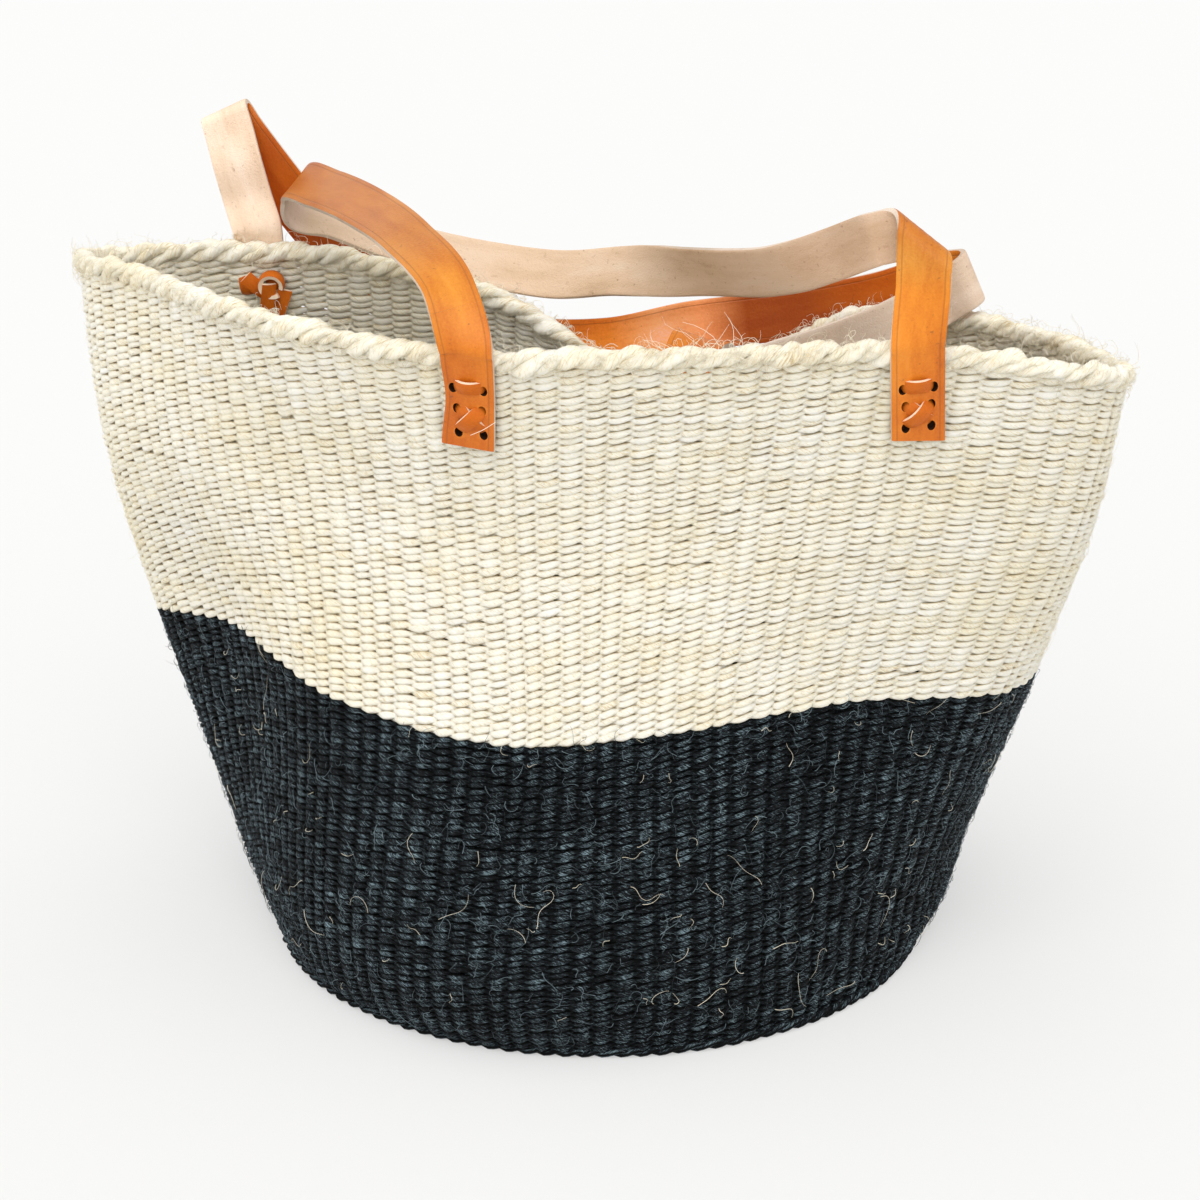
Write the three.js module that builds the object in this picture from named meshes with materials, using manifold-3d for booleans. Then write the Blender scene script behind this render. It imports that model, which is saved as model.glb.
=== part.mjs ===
// A kiondo basket: a twined sisal shopping basket, dark below and cream above, with two leather straps.
// Millimetres, +Z up, the origin at the middle of the flat underside, the mouth's long way along X.
// The front of the basket, with the strap that stands in front of the mouth, faces -Y.

import * as THREE from 'three';
import { mergeVertices } from 'three/addons/utils/BufferGeometryUtils.js';
import Module from 'manifold-3d';

// Driving sizes of the basket.
const mouthLength = 500;
const basketHeight = 330;
const baseRadius = 150;
const wall = 5;
const footHeight = 6;
const rimHeight = 10;
const rimBulge = 1;

// Driving sizes of the leather.
const strapWidth = 23;
const strapThickness = 3;
const tabLength = 45;
const flexLength = 24;
const laceWidth = 6;
const laceThickness = 1.6;
const laceLeg = 3;
const holeWidth = 3.6;
const tailLength = 26;
const knotSize = 8;

// The clearance that neighbouring pieces keep, and how far a cutter runs past what it cuts.
const clearance = 0.3;
const tabGap = 3 * clearance;
const cutGap = 2 * clearance;
const overrun = 4;

// How finely the solids are cut into facets.
const aroundCount = 72;
const darkRows = 7;
const creamRows = 8;
const acrossCount = 4;
const samplesPerStretch = 40;
const tabSamples = 8;

// The basket is slack, so its shape is given by rings that a hand would feel while it climbs the wall.
// Each ring has twelve places, from the left tip along the front to the right tip and back along the rear:
// the share of the mouth's length along X and along Y, and the share of the height.
const lowRingShares = [
  [-0.38, -0.01, 0.14], [-0.282, -0.155, 0.13], [-0.165, -0.273, 0.12], [0, -0.33, 0.12],
  [0.16, -0.27, 0.12], [0.265, -0.145, 0.12], [0.318, 0.04, 0.12], [0.298, 0.2, 0.12],
  [0.16, 0.31, 0.12], [-0.01, 0.35, 0.12], [-0.18, 0.29, 0.12], [-0.32, 0.17, 0.12],
];
const stripeRingShares = [
  [-0.45, -0.01, 0.39], [-0.32, -0.12, 0.445], [-0.17, -0.24, 0.44], [0, -0.27, 0.425],
  [0.14, -0.22, 0.44], [0.27, -0.11, 0.45], [0.388, 0.02, 0.42], [0.36, 0.18, 0.4],
  [0.19, 0.25, 0.4], [0.01, 0.26, 0.39], [-0.16, 0.22, 0.4], [-0.33, 0.13, 0.4],
];
const middleRingShares = [
  [-0.48, -0.04, 0.66], [-0.36, -0.16, 0.72], [-0.19, -0.23, 0.73], [-0.02, -0.25, 0.71],
  [0.15, -0.21, 0.72], [0.31, -0.13, 0.72], [0.458, -0.01, 0.68], [0.39, 0.13, 0.66],
  [0.2, 0.17, 0.65], [0.03, 0.15, 0.62], [-0.15, 0.12, 0.66], [-0.32, 0.07, 0.67],
];
const rimRingShares = [
  [-0.496, -0.05, 0.94], [-0.36, -0.18, 0.98], [-0.2, -0.28, 0.99], [-0.01, -0.3, 0.985],
  [0.18, -0.25, 0.995], [0.35, -0.16, 0.99], [0.504, -0.06, 0.94], [0.39, 0.06, 0.93],
  [0.22, 0.08, 0.92], [0.06, 0.025, 0.81], [-0.12, 0.04, 0.91], [-0.31, 0.02, 0.95],
];
// The heel, where the wall leaves the base: how far it has gone out and up to the low ring.
const heelOutShare = 0.6;
const heelUpShare = 0.32;

// Where round the wall each strap is laced on, as a share of the way round from the left tip,
// and how far the tab leans there from the warps, as a share of a right angle.
const tabPlaceShares = {
  front_left: { aroundShare: 0.253, leanShare: 0 },
  front_right: { aroundShare: 0.4185, leanShare: 0.12 },
  rear_left: { aroundShare: 0.931, leanShare: 0 },
  rear_right: { aroundShare: 0.731, leanShare: 0 },
};

// The stitch holes of a tab, below the rim and to each side, as shares of the tab's length and width.
const barHoleDownShare = 0.45;
const upperHoleDownShare = 0.62;
const lowerHoleDownShare = 0.87;
const barHoleSideShare = 0.3;
const crossHoleSideShare = 0.26;

// The way of each strap's free length between its two tabs, in order: where its middle line runs,
// as shares of the mouth's length and of the height, and which way its upper edge lies.
const frontRouteShares = [
  { place: [-0.023, -0.286, 1.067], edge: [0.59, 0.79, 0.15] },
  { place: [-0.091, -0.224, 1.09], edge: [0.38, 0.88, 0.3] },
  { place: [-0.169, -0.136, 1.083], edge: [0.25, 0.9, 0.37] },
  { place: [-0.246, -0.052, 1.063], edge: [0.18, 0.89, 0.42] },
  { place: [-0.304, 0.012, 1.037], edge: [0.18, 0.87, 0.47] },
  { place: [-0.31, 0.027, 0.998], edge: [0.15, 0.86, 0.49] },
  { place: [-0.289, 0.05, 0.976], edge: [-0.08, 0.87, 0.48] },
  { place: [-0.245, 0.066, 0.95], edge: [-0.23, 0.78, 0.58] },
  { place: [-0.179, 0.076, 0.926], edge: [-0.28, 0.72, 0.64] },
  { place: [-0.078, 0.074, 0.915], edge: [-0.23, 0.6, 0.76] },
  { place: [0.004, 0.04, 0.945], edge: [-0.24, 0.63, 0.73] },
  { place: [0.097, -0.028, 0.99], edge: [0.08, -0.21, 0.97] },
  { place: [0.185, -0.088, 1.026], edge: [0.06, -0.26, 0.97] },
  { place: [0.261, -0.128, 1.082], edge: [-0.29, 0.1, 0.95] },
];
const frontFoldShares = {
  place: [0.333, -0.152, 1.135],
  along: [0.942, 0.163, 0.276],
  edge: [-0.27, -0.047, 0.961],
};
const rearLegRouteShares = [{ place: [-0.37, 0.026, 1.03], edge: [0.91, 0.29, 0.3] }];
const leftCreaseShares = {
  place: [-0.386, 0.034, 1.112],
  along: [-0.34, 0.1, 0.935],
  edge: [0.91, 0.285, 0.3],
};
const rearBandRouteShares = [
  { place: [-0.32, 0.074, 0.955], edge: [0.85, 0.3, 0.45] },
  { place: [-0.288, 0.098, 0.878], edge: [0.7, 0.2, 0.65] },
  { place: [-0.23, 0.106, 0.835], edge: [0.3, 0.05, 0.95] },
  { place: [-0.12, 0.106, 0.8], edge: [0, -0.25, 0.97] },
  { place: [-0.03, 0.094, 0.812], edge: [-0.05, -0.2, 0.98] },
  { place: [0.06, 0.08, 0.85], edge: [-0.1, -0.1, 0.99] },
  { place: [0.15, 0.094, 0.894], edge: [-0.1, -0.1, 0.99] },
  { place: [0.236, 0.102, 0.925], edge: [-0.12, 0, 0.99] },
];
const rightFoldShares = {
  place: [0.316, 0.086, 0.976],
  along: [0.97, -0.1, 0.22],
  edge: [-0.22, 0, 0.97],
};
const returnRouteShares = [
  { place: [0.262, 0.036, 0.914], edge: [-0.45, -0.1, 0.88] },
  { place: [0.206, 0.018, 0.868], edge: [-0.45, -0.15, 0.87] },
  { place: [0.16, 0, 0.836], edge: [-0.55, -0.2, 0.8] },
  { place: [0.124, -0.03, 0.816], edge: [-0.85, -0.35, 0.4] },
  { place: [0.102, -0.044, 0.826], edge: [-0.95, -0.2, 0.05] },
  { place: [0.098, -0.038, 0.87], edge: [-0.98, -0.05, 0] },
  { place: [0.096, -0.006, 0.894], edge: [-0.98, 0, 0] },
];
// Each fold turns the strap round a line across it: how far the line leans from straight across,
// as a share of a right angle, and the radius that it turns at.
const frontFoldLeanShare = 0.41;
const frontFoldRadius = 4.5;
const leftCreaseLeanShare = -0.09;
const leftCreaseRadius = 3;
const rightFoldLeanShare = 0.139;
const rightFoldRadius = 5;
// How far before the right fold the swinging part of the rear strap ends, as a share of the strap's width.
const rearHandleEndShare = 0.28;

const wasm = await Module();
wasm.setup();

const basket = new THREE.Group();

const darkSisal = new THREE.MeshStandardMaterial({ color: 0x23282b, roughness: 0.85, metalness: 0 });
const creamSisal = new THREE.MeshStandardMaterial({ color: 0xe6dfca, roughness: 0.9, metalness: 0 });
const leather = new THREE.MeshStandardMaterial({ color: 0xc76a22, roughness: 0.5, metalness: 0 });

// A place or a direction from three numbers.
function vector(numbers) {
  return new THREE.Vector3(...numbers);
}

// A place from its shares of the mouth's length and of the height.
function placeFromShares([along, across, up]) {
  return new THREE.Vector3(along * mouthLength, across * mouthLength, up * basketHeight);
}

// The base's edge is a true circle, cut at the same twelve places as the rings.
function baseRing() {
  return lowRingShares.map((_, index) => {
    const angle = Math.PI + (2 * Math.PI * index) / lowRingShares.length;
    return new THREE.Vector3(baseRadius * Math.cos(angle), baseRadius * Math.sin(angle), 0);
  });
}

// The heel lies between the base's edge and the low ring, further out than up.
function heelRing(base, low) {
  return base.map((point, index) => {
    const heel = point.clone().lerp(low[index], heelOutShare);
    heel.z = low[index].z * heelUpShare;
    return heel;
  });
}

const lowRing = lowRingShares.map(placeFromShares);
const rings = [
  baseRing(),
  heelRing(baseRing(), lowRing),
  lowRing,
  stripeRingShares.map(placeFromShares),
  middleRingShares.map(placeFromShares),
  rimRingShares.map(placeFromShares),
];
const ringCurves = rings.map((ring) => new THREE.CatmullRomCurve3(ring, true, 'catmullrom', 0.5));
const stripeRingIndex = 3;

// One warp's line up the outside of the wall, from the base's edge to the top of the rim.
const warpLines = new Map();
function warpLine(around) {
  const turn = around - Math.floor(around);
  if (!warpLines.has(turn)) {
    const points = ringCurves.map((curve) => curve.getPoint(turn));
    const line = new THREE.CatmullRomCurve3(points, false, 'centripetal');
    const lengths = line.getLengths((points.length - 1) * samplesPerStretch);
    const length = lengths[lengths.length - 1];
    warpLines.set(turn, { line, length, stripeLength: lengths[stripeRingIndex * samplesPerStretch] });
  }
  return warpLines.get(turn);
}

// A point on the outside of the wall, a length up the warp from the base's edge.
function outside(around, climb) {
  const { line, length } = warpLine(around);
  return line.getPointAt(Math.min(Math.max(climb / length, 0), 1));
}

// The directions of the wall at a point: along the wall, up the warp and straight out of it.
function wallFrame(around, climb) {
  const aside = 1 / (aroundCount * 4);
  const step = wall / 2;
  const low = Math.min(climb, warpLine(around).length - step);
  const up = outside(around, low + step).sub(outside(around, Math.max(low - step, 0))).normalize();
  const side = outside(around + aside, climb).sub(outside(around - aside, climb)).normalize();
  const out = side.clone().cross(up).normalize();
  return { up, out, side: up.clone().cross(out).normalize() };
}

// A point at a depth inside the wall's outer face.
function wallPoint(around, climb, depth) {
  return outside(around, climb).addScaledVector(wallFrame(around, climb).out, -depth);
}

// A closed geometry from points and triangles, turned so that its faces point out.
function closedGeometry(points, triangles) {
  const geometry = new THREE.BufferGeometry();
  const numbers = points.flatMap((point) => [point.x, point.y, point.z]);
  geometry.setAttribute('position', new THREE.Float32BufferAttribute(numbers, 3));
  let volume = 0;
  for (const [a, b, c] of triangles) {
    volume += points[a].dot(points[b].clone().cross(points[c]));
  }
  const outward = volume > 0 ? triangles : triangles.map(([a, b, c]) => [a, c, b]);
  geometry.setIndex(outward.flat());
  return geometry;
}

// A body that runs once round the basket, from the outline of its cut as climbs and depths at each place.
function bodyAround(outlineAt) {
  const points = [];
  const triangles = [];
  const sides = outlineAt(0).length;
  for (let turn = 0; turn < aroundCount; turn++) {
    const around = turn / aroundCount;
    for (const [climb, depth] of outlineAt(around)) {
      points.push(wallPoint(around, climb, depth));
    }
    const next = ((turn + 1) % aroundCount) * sides;
    for (let side = 0; side < sides; side++) {
      const a = turn * sides + side;
      const b = turn * sides + ((side + 1) % sides);
      const c = next + side;
      const d = next + ((side + 1) % sides);
      const closing = side === sides - 1;
      triangles.push(closing ? [a, c, b] : [a, c, d], closing ? [c, d, b] : [a, d, b]);
    }
  }
  return closedGeometry(points, triangles);
}

// The outline of a stretch of wall between two climbs.
function wallOutline(from, to, rows) {
  const climbs = Array.from({ length: rows + 1 }, (_, row) => from + ((to - from) * row) / rows);
  return [...climbs.map((climb) => [climb, 0]), ...climbs.reverse().map((climb) => [climb, wall])];
}

// The woven base: a flat disc whose edge turns up by a foot's height.
function wovenBase() {
  const points = [];
  const triangles = [];
  const levels = 4;
  for (let turn = 0; turn < aroundCount; turn++) {
    const around = turn / aroundCount;
    points.push(outside(around, 0), outside(around, footHeight / 2), outside(around, footHeight));
    points.push(wallPoint(around, footHeight, wall));
  }
  const under = points.push(new THREE.Vector3(0, 0, 0)) - 1;
  const over = points.push(new THREE.Vector3(0, 0, wall)) - 1;
  for (let turn = 0; turn < aroundCount; turn++) {
    const here = turn * levels;
    const next = ((turn + 1) % aroundCount) * levels;
    triangles.push([under, next, here]);
    for (let level = 0; level < levels - 1; level++) {
      triangles.push([here + level, next + level, next + level + 1]);
      triangles.push([here + level, next + level + 1, here + level + 1]);
    }
    triangles.push([here + levels - 1, next + levels - 1, over]);
  }
  return closedGeometry(points, triangles);
}

// The dark wall climbs from the base's turned-up edge to the stripe's edge.
function darkWall() {
  return bodyAround((around) => {
    const { stripeLength } = warpLine(around);
    return wallOutline(footHeight + clearance, stripeLength - clearance / 2, darkRows);
  });
}

// The cream wall climbs from the stripe's edge to the rim.
function creamWall() {
  return bodyAround((around) => {
    const { stripeLength, length } = warpLine(around);
    return wallOutline(stripeLength + clearance / 2, length - rimHeight - clearance, creamRows);
  });
}

// The rim is a thick plait on top of the wall, a little wider than the wall.
function rimBraid() {
  return bodyAround((around) => {
    const { length } = warpLine(around);
    const foot = length - rimHeight;
    const shoulder = rimHeight / 4;
    const outer = [[foot, 0], [foot + shoulder, -rimBulge], [length - shoulder, -rimBulge]];
    const inner = [[length - shoulder, wall + rimBulge], [foot + shoulder, wall + rimBulge], [foot, wall]];
    return [...outer, [length, wall / 4], [length, (3 * wall) / 4], ...inner];
  });
}

// A three.js geometry as a solid that can be cut and joined, and back again.
function solid(geometry) {
  const bare = new THREE.BufferGeometry();
  bare.setAttribute('position', geometry.getAttribute('position').clone());
  bare.setIndex(geometry.getIndex());
  const merged = mergeVertices(bare);
  return new wasm.Manifold(new wasm.Mesh({
    numProp: 3,
    vertProperties: new Float32Array(merged.getAttribute('position').array),
    triVerts: new Uint32Array(merged.getIndex().array),
  }));
}

function geometryOf(body) {
  const mesh = body.getMesh();
  const geometry = new THREE.BufferGeometry();
  geometry.setAttribute('position', new THREE.BufferAttribute(new Float32Array(mesh.vertProperties), 3));
  geometry.setIndex(Array.from(mesh.triVerts));
  return geometry;
}

// A box in a frame: its middle as lengths to the side, up and out, its size, and its turn about the way out.
function framedBox(frame, [side, up, out], [width, height, depth], turn = 0) {
  const box = new THREE.BoxGeometry(width, height, depth);
  box.rotateZ(turn);
  box.translate(side, up, out);
  box.applyMatrix4(frame.matrix);
  return box;
}

// Where a tab lies: flat against the wall and the rim, with its top at the top of the rim.
function tabFrame({ aroundShare: around, leanShare }) {
  const { length } = warpLine(around);
  const middle = length - tabLength / 2;
  const { up, out, side } = wallFrame(around, middle);
  up.applyAxisAngle(out, (leanShare * Math.PI) / 2);
  side.applyAxisAngle(out, (leanShare * Math.PI) / 2);
  const centre = outside(around, middle);
  const halfTurn = strapWidth / 2 / (mouthLength * 2);
  let reach = 0;
  for (const aside of [-halfTurn, 0, halfTurn]) {
    for (let sample = 0; sample <= tabSamples; sample++) {
      const climb = length - (tabLength * sample) / tabSamples;
      const bulge = climb > length - rimHeight ? -rimBulge : 0;
      const height = wallPoint(around + aside, climb, bulge).sub(centre).dot(out);
      reach = Math.max(reach, height);
    }
  }
  const origin = centre.clone().addScaledVector(out, reach + cutGap + strapThickness / 2);
  const matrix = new THREE.Matrix4().makeBasis(side, up, out).setPosition(origin);
  const top = origin.clone().addScaledVector(up, tabLength / 2);
  return { matrix, side, up, out, top, reach: reach + cutGap };
}

// The six stitch holes of a tab: two for the bar and four for the cross, as lengths to the side and up.
function holePlaces() {
  const heightOf = (share) => tabLength / 2 - share * tabLength;
  const barSide = barHoleSideShare * strapWidth;
  const crossSide = crossHoleSideShare * strapWidth;
  return {
    barLeft: [-barSide, heightOf(barHoleDownShare)],
    barRight: [barSide, heightOf(barHoleDownShare)],
    upperLeft: [-crossSide, heightOf(upperHoleDownShare)],
    upperRight: [crossSide, heightOf(upperHoleDownShare)],
    lowerLeft: [-crossSide, heightOf(lowerHoleDownShare)],
    lowerRight: [crossSide, heightOf(lowerHoleDownShare)],
  };
}

// How deep a lace goes: through the tab, the space behind it and the wall, and a little beyond.
function laceDepth(frame) {
  return strapThickness / 2 + frame.reach + wall + rimBulge;
}

// The bores that the lace needs through the tab and through the wall behind it.
function laceBores(frame) {
  const depth = laceDepth(frame) + strapThickness + 2 * overrun;
  return Object.values(holePlaces()).map(([side, up]) =>
    solid(framedBox(frame, [side, up, strapThickness + overrun - depth / 2], [holeWidth, holeWidth, depth])));
}

// A tab: the strap's flat end with its six stitch holes.
function strapTab(frame) {
  let tab = solid(framedBox(frame, [0, 0, 0], [strapWidth, tabLength, strapThickness]));
  for (const bore of laceBores(frame)) {
    tab = tab.subtract(bore);
  }
  return geometryOf(tab);
}

// A band of lace from one hole to another, at a height over the tab's middle plane.
function laceBand(frame, from, to, height) {
  const [width, rise] = [to[0] - from[0], to[1] - from[1]];
  const length = Math.hypot(width, rise) + laceLeg;
  const middle = [(from[0] + to[0]) / 2, (from[1] + to[1]) / 2, height];
  return solid(framedBox(frame, middle, [length, laceWidth, laceThickness], Math.atan2(rise, width)));
}

// A lace: a bar stitch and a cross outside, legs through the holes, and links, a knot and two tails inside.
function strapLace(frame) {
  const holes = holePlaces();
  const lift = strapThickness / 2 + clearance + laceThickness / 2;
  const inner = -laceDepth(frame) - clearance - laceThickness / 2;
  const legLength = lift - inner;
  const knotPlace = [0, (holes.upperLeft[1] + holes.lowerLeft[1]) / 2, inner - laceThickness];
  const knotHeight = holes.upperLeft[1] - holes.lowerLeft[1] + laceWidth;
  const tailHeight = knotPlace[1] - knotSize / 2;
  const pieces = [
    laceBand(frame, holes.barLeft, holes.barRight, lift),
    laceBand(frame, holes.upperLeft, holes.lowerRight, lift),
    laceBand(frame, holes.upperRight, holes.lowerLeft, lift + laceThickness / 2),
    laceBand(frame, holes.barLeft, holes.upperLeft, inner),
    laceBand(frame, holes.barRight, holes.upperRight, inner),
    laceBand(frame, holes.upperLeft, holes.upperRight, inner),
    laceBand(frame, holes.lowerLeft, holes.lowerRight, inner),
    solid(framedBox(frame, knotPlace, [knotSize, knotHeight, 2 * laceThickness])),
  ];
  for (const [side, up] of Object.values(holes)) {
    pieces.push(solid(framedBox(frame, [side, up, (lift + inner) / 2], [laceLeg, laceLeg, legLength])));
  }
  for (const way of [-1, 1]) {
    const middle = [(way * (laceWidth + knotSize)) / 3, tailHeight - tailLength / 4, knotPlace[2]];
    pieces.push(solid(framedBox(frame, middle, [laceWidth, tailLength, laceThickness], (way * Math.PI) / 5)));
  }
  return geometryOf(pieces.reduce((joined, piece) => joined.add(piece)));
}

// The rows of a strap's middle surface: each row is points across it, from the lower edge to the upper.
function rowAcross(centre, edge) {
  return Array.from({ length: acrossCount + 1 }, (_, index) =>
    centre.clone().addScaledVector(edge, strapWidth * (index / acrossCount - 0.5)));
}

// Rows along a smooth way through stops, each with its middle and the way of its upper edge.
function rowsAlong(stops, stepLength) {
  const middles = new THREE.CatmullRomCurve3(stops.map((stop) => stop.centre), false, 'centripetal');
  const edges = new THREE.CatmullRomCurve3(stops.map((stop) => stop.edge), false, 'catmullrom', 0.5);
  const lengths = middles.getLengths((stops.length - 1) * samplesPerStretch);
  const length = lengths[lengths.length - 1];
  const count = Math.max(3, Math.round(length / stepLength));
  const rows = [];
  for (let step = 0; step <= count; step++) {
    const share = middles.getUtoTmapping(step / count);
    const along = middles.getTangent(share);
    const edge = edges.getPoint(share);
    edge.addScaledVector(along, -edge.dot(along)).normalize();
    rows.push(rowAcross(middles.getPoint(share), edge));
  }
  return rows;
}

// Rows round a fold: the strap comes along one plane, wraps round a leaning line and leaves on a parallel plane,
// on the side of the strap that its way and its upper edge make (1), or on the other side (-1).
function foldRows(fold, leanShare, radius, turnsWay) {
  const along = vector(fold.along).normalize();
  const edge = vector(fold.edge);
  edge.addScaledVector(along, -edge.dot(along)).normalize();
  const out = along.clone().cross(edge).multiplyScalar(turnsWay);
  const lean = (leanShare * Math.PI) / 2;
  const line = edge.clone().multiplyScalar(Math.cos(lean)).addScaledVector(along, -Math.sin(lean));
  const ahead = along.clone().multiplyScalar(Math.cos(lean)).addScaledVector(edge, Math.sin(lean));
  const place = (length, offset) => {
    const past = length * Math.cos(lean) + offset * Math.sin(lean);
    const aside = offset * Math.cos(lean) - length * Math.sin(lean);
    const turn = Math.min(Math.max(past / radius, 0), Math.PI);
    const forward = past < 0 ? past : radius * Math.sin(turn) - Math.max(past - Math.PI * radius, 0);
    return placeFromShares(fold.place)
      .addScaledVector(line, aside)
      .addScaledVector(ahead, forward)
      .addScaledVector(out, radius * (1 - Math.cos(turn)));
  };
  const rows = [];
  const reach = (strapWidth / 2) * Math.abs(Math.tan(lean)) + strapThickness;
  const end = reach + (Math.PI * radius) / Math.cos(lean);
  const steps = Math.round((end + reach) / (strapWidth / 8));
  for (let step = 0; step <= steps; step++) {
    const length = -reach + ((end + reach) * step) / steps;
    rows.push(Array.from({ length: acrossCount + 1 }, (_, index) =>
      place(length, strapWidth * (index / acrossCount - 0.5))));
  }
  return rows;
}

// The stop that a row of a strap gives the next stretch: its middle and the way of its upper edge.
function stopAt(row) {
  return { centre: row[acrossCount / 2].clone(), edge: row[acrossCount].clone().sub(row[0]).normalize() };
}

function routeStops(route) {
  return route.map(({ place, edge }) => ({ centre: placeFromShares(place), edge: vector(edge) }));
}

// A short stop beyond a tab or before a fold, so that the strap leaves it in line.
function stopBeyond(centre, way, length, edge) {
  return { centre: centre.clone().addScaledVector(way, length), edge: edge.clone() };
}

// The way of the strap at one end of its rows.
function endWay(rows, atStart) {
  const [first, second] = atStart ? [rows[0], rows[1]] : [rows[rows.length - 2], rows[rows.length - 1]];
  return second[acrossCount / 2].clone().sub(first[acrossCount / 2]).normalize();
}

// Rows from the end of one set of rows to the start of another, through the stops between them.
function rowsBetween(before, stops, after, stepLength) {
  const lead = strapWidth / 3;
  const first = stopAt(before[before.length - 1]);
  const last = stopAt(after[0]);
  const path = [
    first,
    stopBeyond(first.centre, endWay(before, false), lead, first.edge),
    ...stops,
    stopBeyond(last.centre, endWay(after, true), -lead, last.edge),
    last,
  ];
  return rowsAlong(path, stepLength);
}

// A strap's solid: its middle surface, thickened to both sides.
function strapBody(rows) {
  const across = acrossCount + 1;
  const points = [];
  const triangles = [];
  const normalAt = (row, column) => {
    const above = rows[Math.min(row + 1, rows.length - 1)][column];
    const below = rows[Math.max(row - 1, 0)][column];
    const right = rows[row][Math.min(column + 1, across - 1)];
    const left = rows[row][Math.max(column - 1, 0)];
    return above.clone().sub(below).cross(right.clone().sub(left)).normalize();
  };
  for (const way of [1, -1]) {
    rows.forEach((row, index) => row.forEach((point, column) => {
      points.push(point.clone().addScaledVector(normalAt(index, column), (way * strapThickness) / 2));
    }));
  }
  const under = rows.length * across;
  const quad = (a, b, c, d) => triangles.push([a, b, c], [a, c, d]);
  for (let row = 0; row < rows.length - 1; row++) {
    const here = row * across;
    const next = here + across;
    for (let column = 0; column < across - 1; column++) {
      quad(here + column, next + column, next + column + 1, here + column + 1);
      quad(under + here + column + 1, under + next + column + 1, under + next + column, under + here + column);
    }
    quad(under + here, under + next, next, here);
    const edge = across - 1;
    quad(here + edge, next + edge, under + next + edge, under + here + edge);
  }
  const last = (rows.length - 1) * across;
  for (let column = 0; column < across - 1; column++) {
    quad(column + 1, under + column + 1, under + column, column);
    quad(last + column, under + last + column, under + last + column + 1, last + column + 1);
  }
  return closedGeometry(points, triangles);
}

// The rows that a tab's own length would have, so that the strap leaves its top in line.
function tabRows(frame, towardsTab) {
  const edge = frame.side.clone();
  const ends = [frame.top.clone().addScaledVector(frame.up, -strapWidth / 4), frame.top];
  const rows = ends.map((centre) => rowAcross(centre, edge.clone().multiplyScalar(towardsTab ? -1 : 1)));
  return towardsTab ? rows.reverse() : rows;
}

// Rows between two lengths along a strap, with cut ends, so that its stretches leave a gap.
function cutRows(rows, from, to) {
  const middle = acrossCount / 2;
  const lengths = [0];
  for (let row = 1; row < rows.length; row++) {
    lengths.push(lengths[row - 1] + rows[row][middle].distanceTo(rows[row - 1][middle]));
  }
  const rowAt = (length) => {
    const next = Math.max(1, lengths.findIndex((value) => value >= length));
    const share = (length - lengths[next - 1]) / (lengths[next] - lengths[next - 1]);
    return rows[next].map((point, column) => rows[next - 1][column].clone().lerp(point, share));
  };
  const total = lengths[lengths.length - 1];
  const end = to === undefined ? total - tabGap : to;
  const least = strapWidth / 20;
  const inside = rows.filter((_, row) => lengths[row] > from + least && lengths[row] < end - least);
  return [rowAt(from), ...inside, rowAt(end)];
}

function lengthOf(rows) {
  const middle = acrossCount / 2;
  return rows.slice(1).reduce((sum, row, index) => sum + row[middle].distanceTo(rows[index][middle]), 0);
}

function addPiece(name, geometry, material) {
  const mesh = new THREE.Mesh(geometry, material);
  mesh.name = name;
  basket.add(mesh);
}

const frames = {};
for (const [name, place] of Object.entries(tabPlaceShares)) {
  frames[name] = tabFrame(place);
}

addPiece('woven_base', wovenBase(), darkSisal);
addPiece('dark_wall', darkWall(), darkSisal);

let creamSolid = solid(creamWall());
let rimSolid = solid(rimBraid());
for (const frame of Object.values(frames)) {
  for (const bore of laceBores(frame)) {
    creamSolid = creamSolid.subtract(bore);
    rimSolid = rimSolid.subtract(bore);
  }
}
addPiece('cream_wall', geometryOf(creamSolid), creamSisal);
addPiece('rim_braid', geometryOf(rimSolid), creamSisal);

for (const [name, frame] of Object.entries(frames)) {
  addPiece(`${name}_strap_tab`, strapTab(frame), leather);
  addPiece(`${name}_lace`, strapLace(frame), leather);
}

// The front strap: up from its left tab, back on itself, across on edge, over a slanting fold and down.
function frontStrapRows() {
  const step = strapWidth / 2;
  const leftTab = tabRows(frames.front_left, false);
  const rightTab = tabRows(frames.front_right, true);
  const fold = foldRows(frontFoldShares, frontFoldLeanShare, frontFoldRadius, 1);
  const loop = rowsBetween(leftTab, routeStops(frontRouteShares), fold, step);
  const rightLeg = rowsBetween(fold, [], rightTab, step);
  return [...loop, ...fold.slice(1), ...rightLeg.slice(1)];
}

// The rear strap: up from its left tab, folded down behind the rear wall, along it, round over the rim,
// down inside and out over the rim again to its right tab.
function rearStrapRows() {
  const step = strapWidth / 2;
  const leftTab = tabRows(frames.rear_left, true).reverse();
  const rightTab = tabRows(frames.rear_right, false).reverse();
  const crease = foldRows(leftCreaseShares, leftCreaseLeanShare, leftCreaseRadius, 1);
  const turn = foldRows(rightFoldShares, rightFoldLeanShare, rightFoldRadius, 1);
  const leg = rowsBetween(leftTab, routeStops(rearLegRouteShares), crease, step);
  const band = rowsBetween(crease, routeStops(rearBandRouteShares), turn, step);
  const back = rowsBetween(turn, routeStops(returnRouteShares), rightTab, step / 2);
  return { outer: [...leg, ...crease.slice(1), ...band.slice(1)], turn, back };
}

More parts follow.
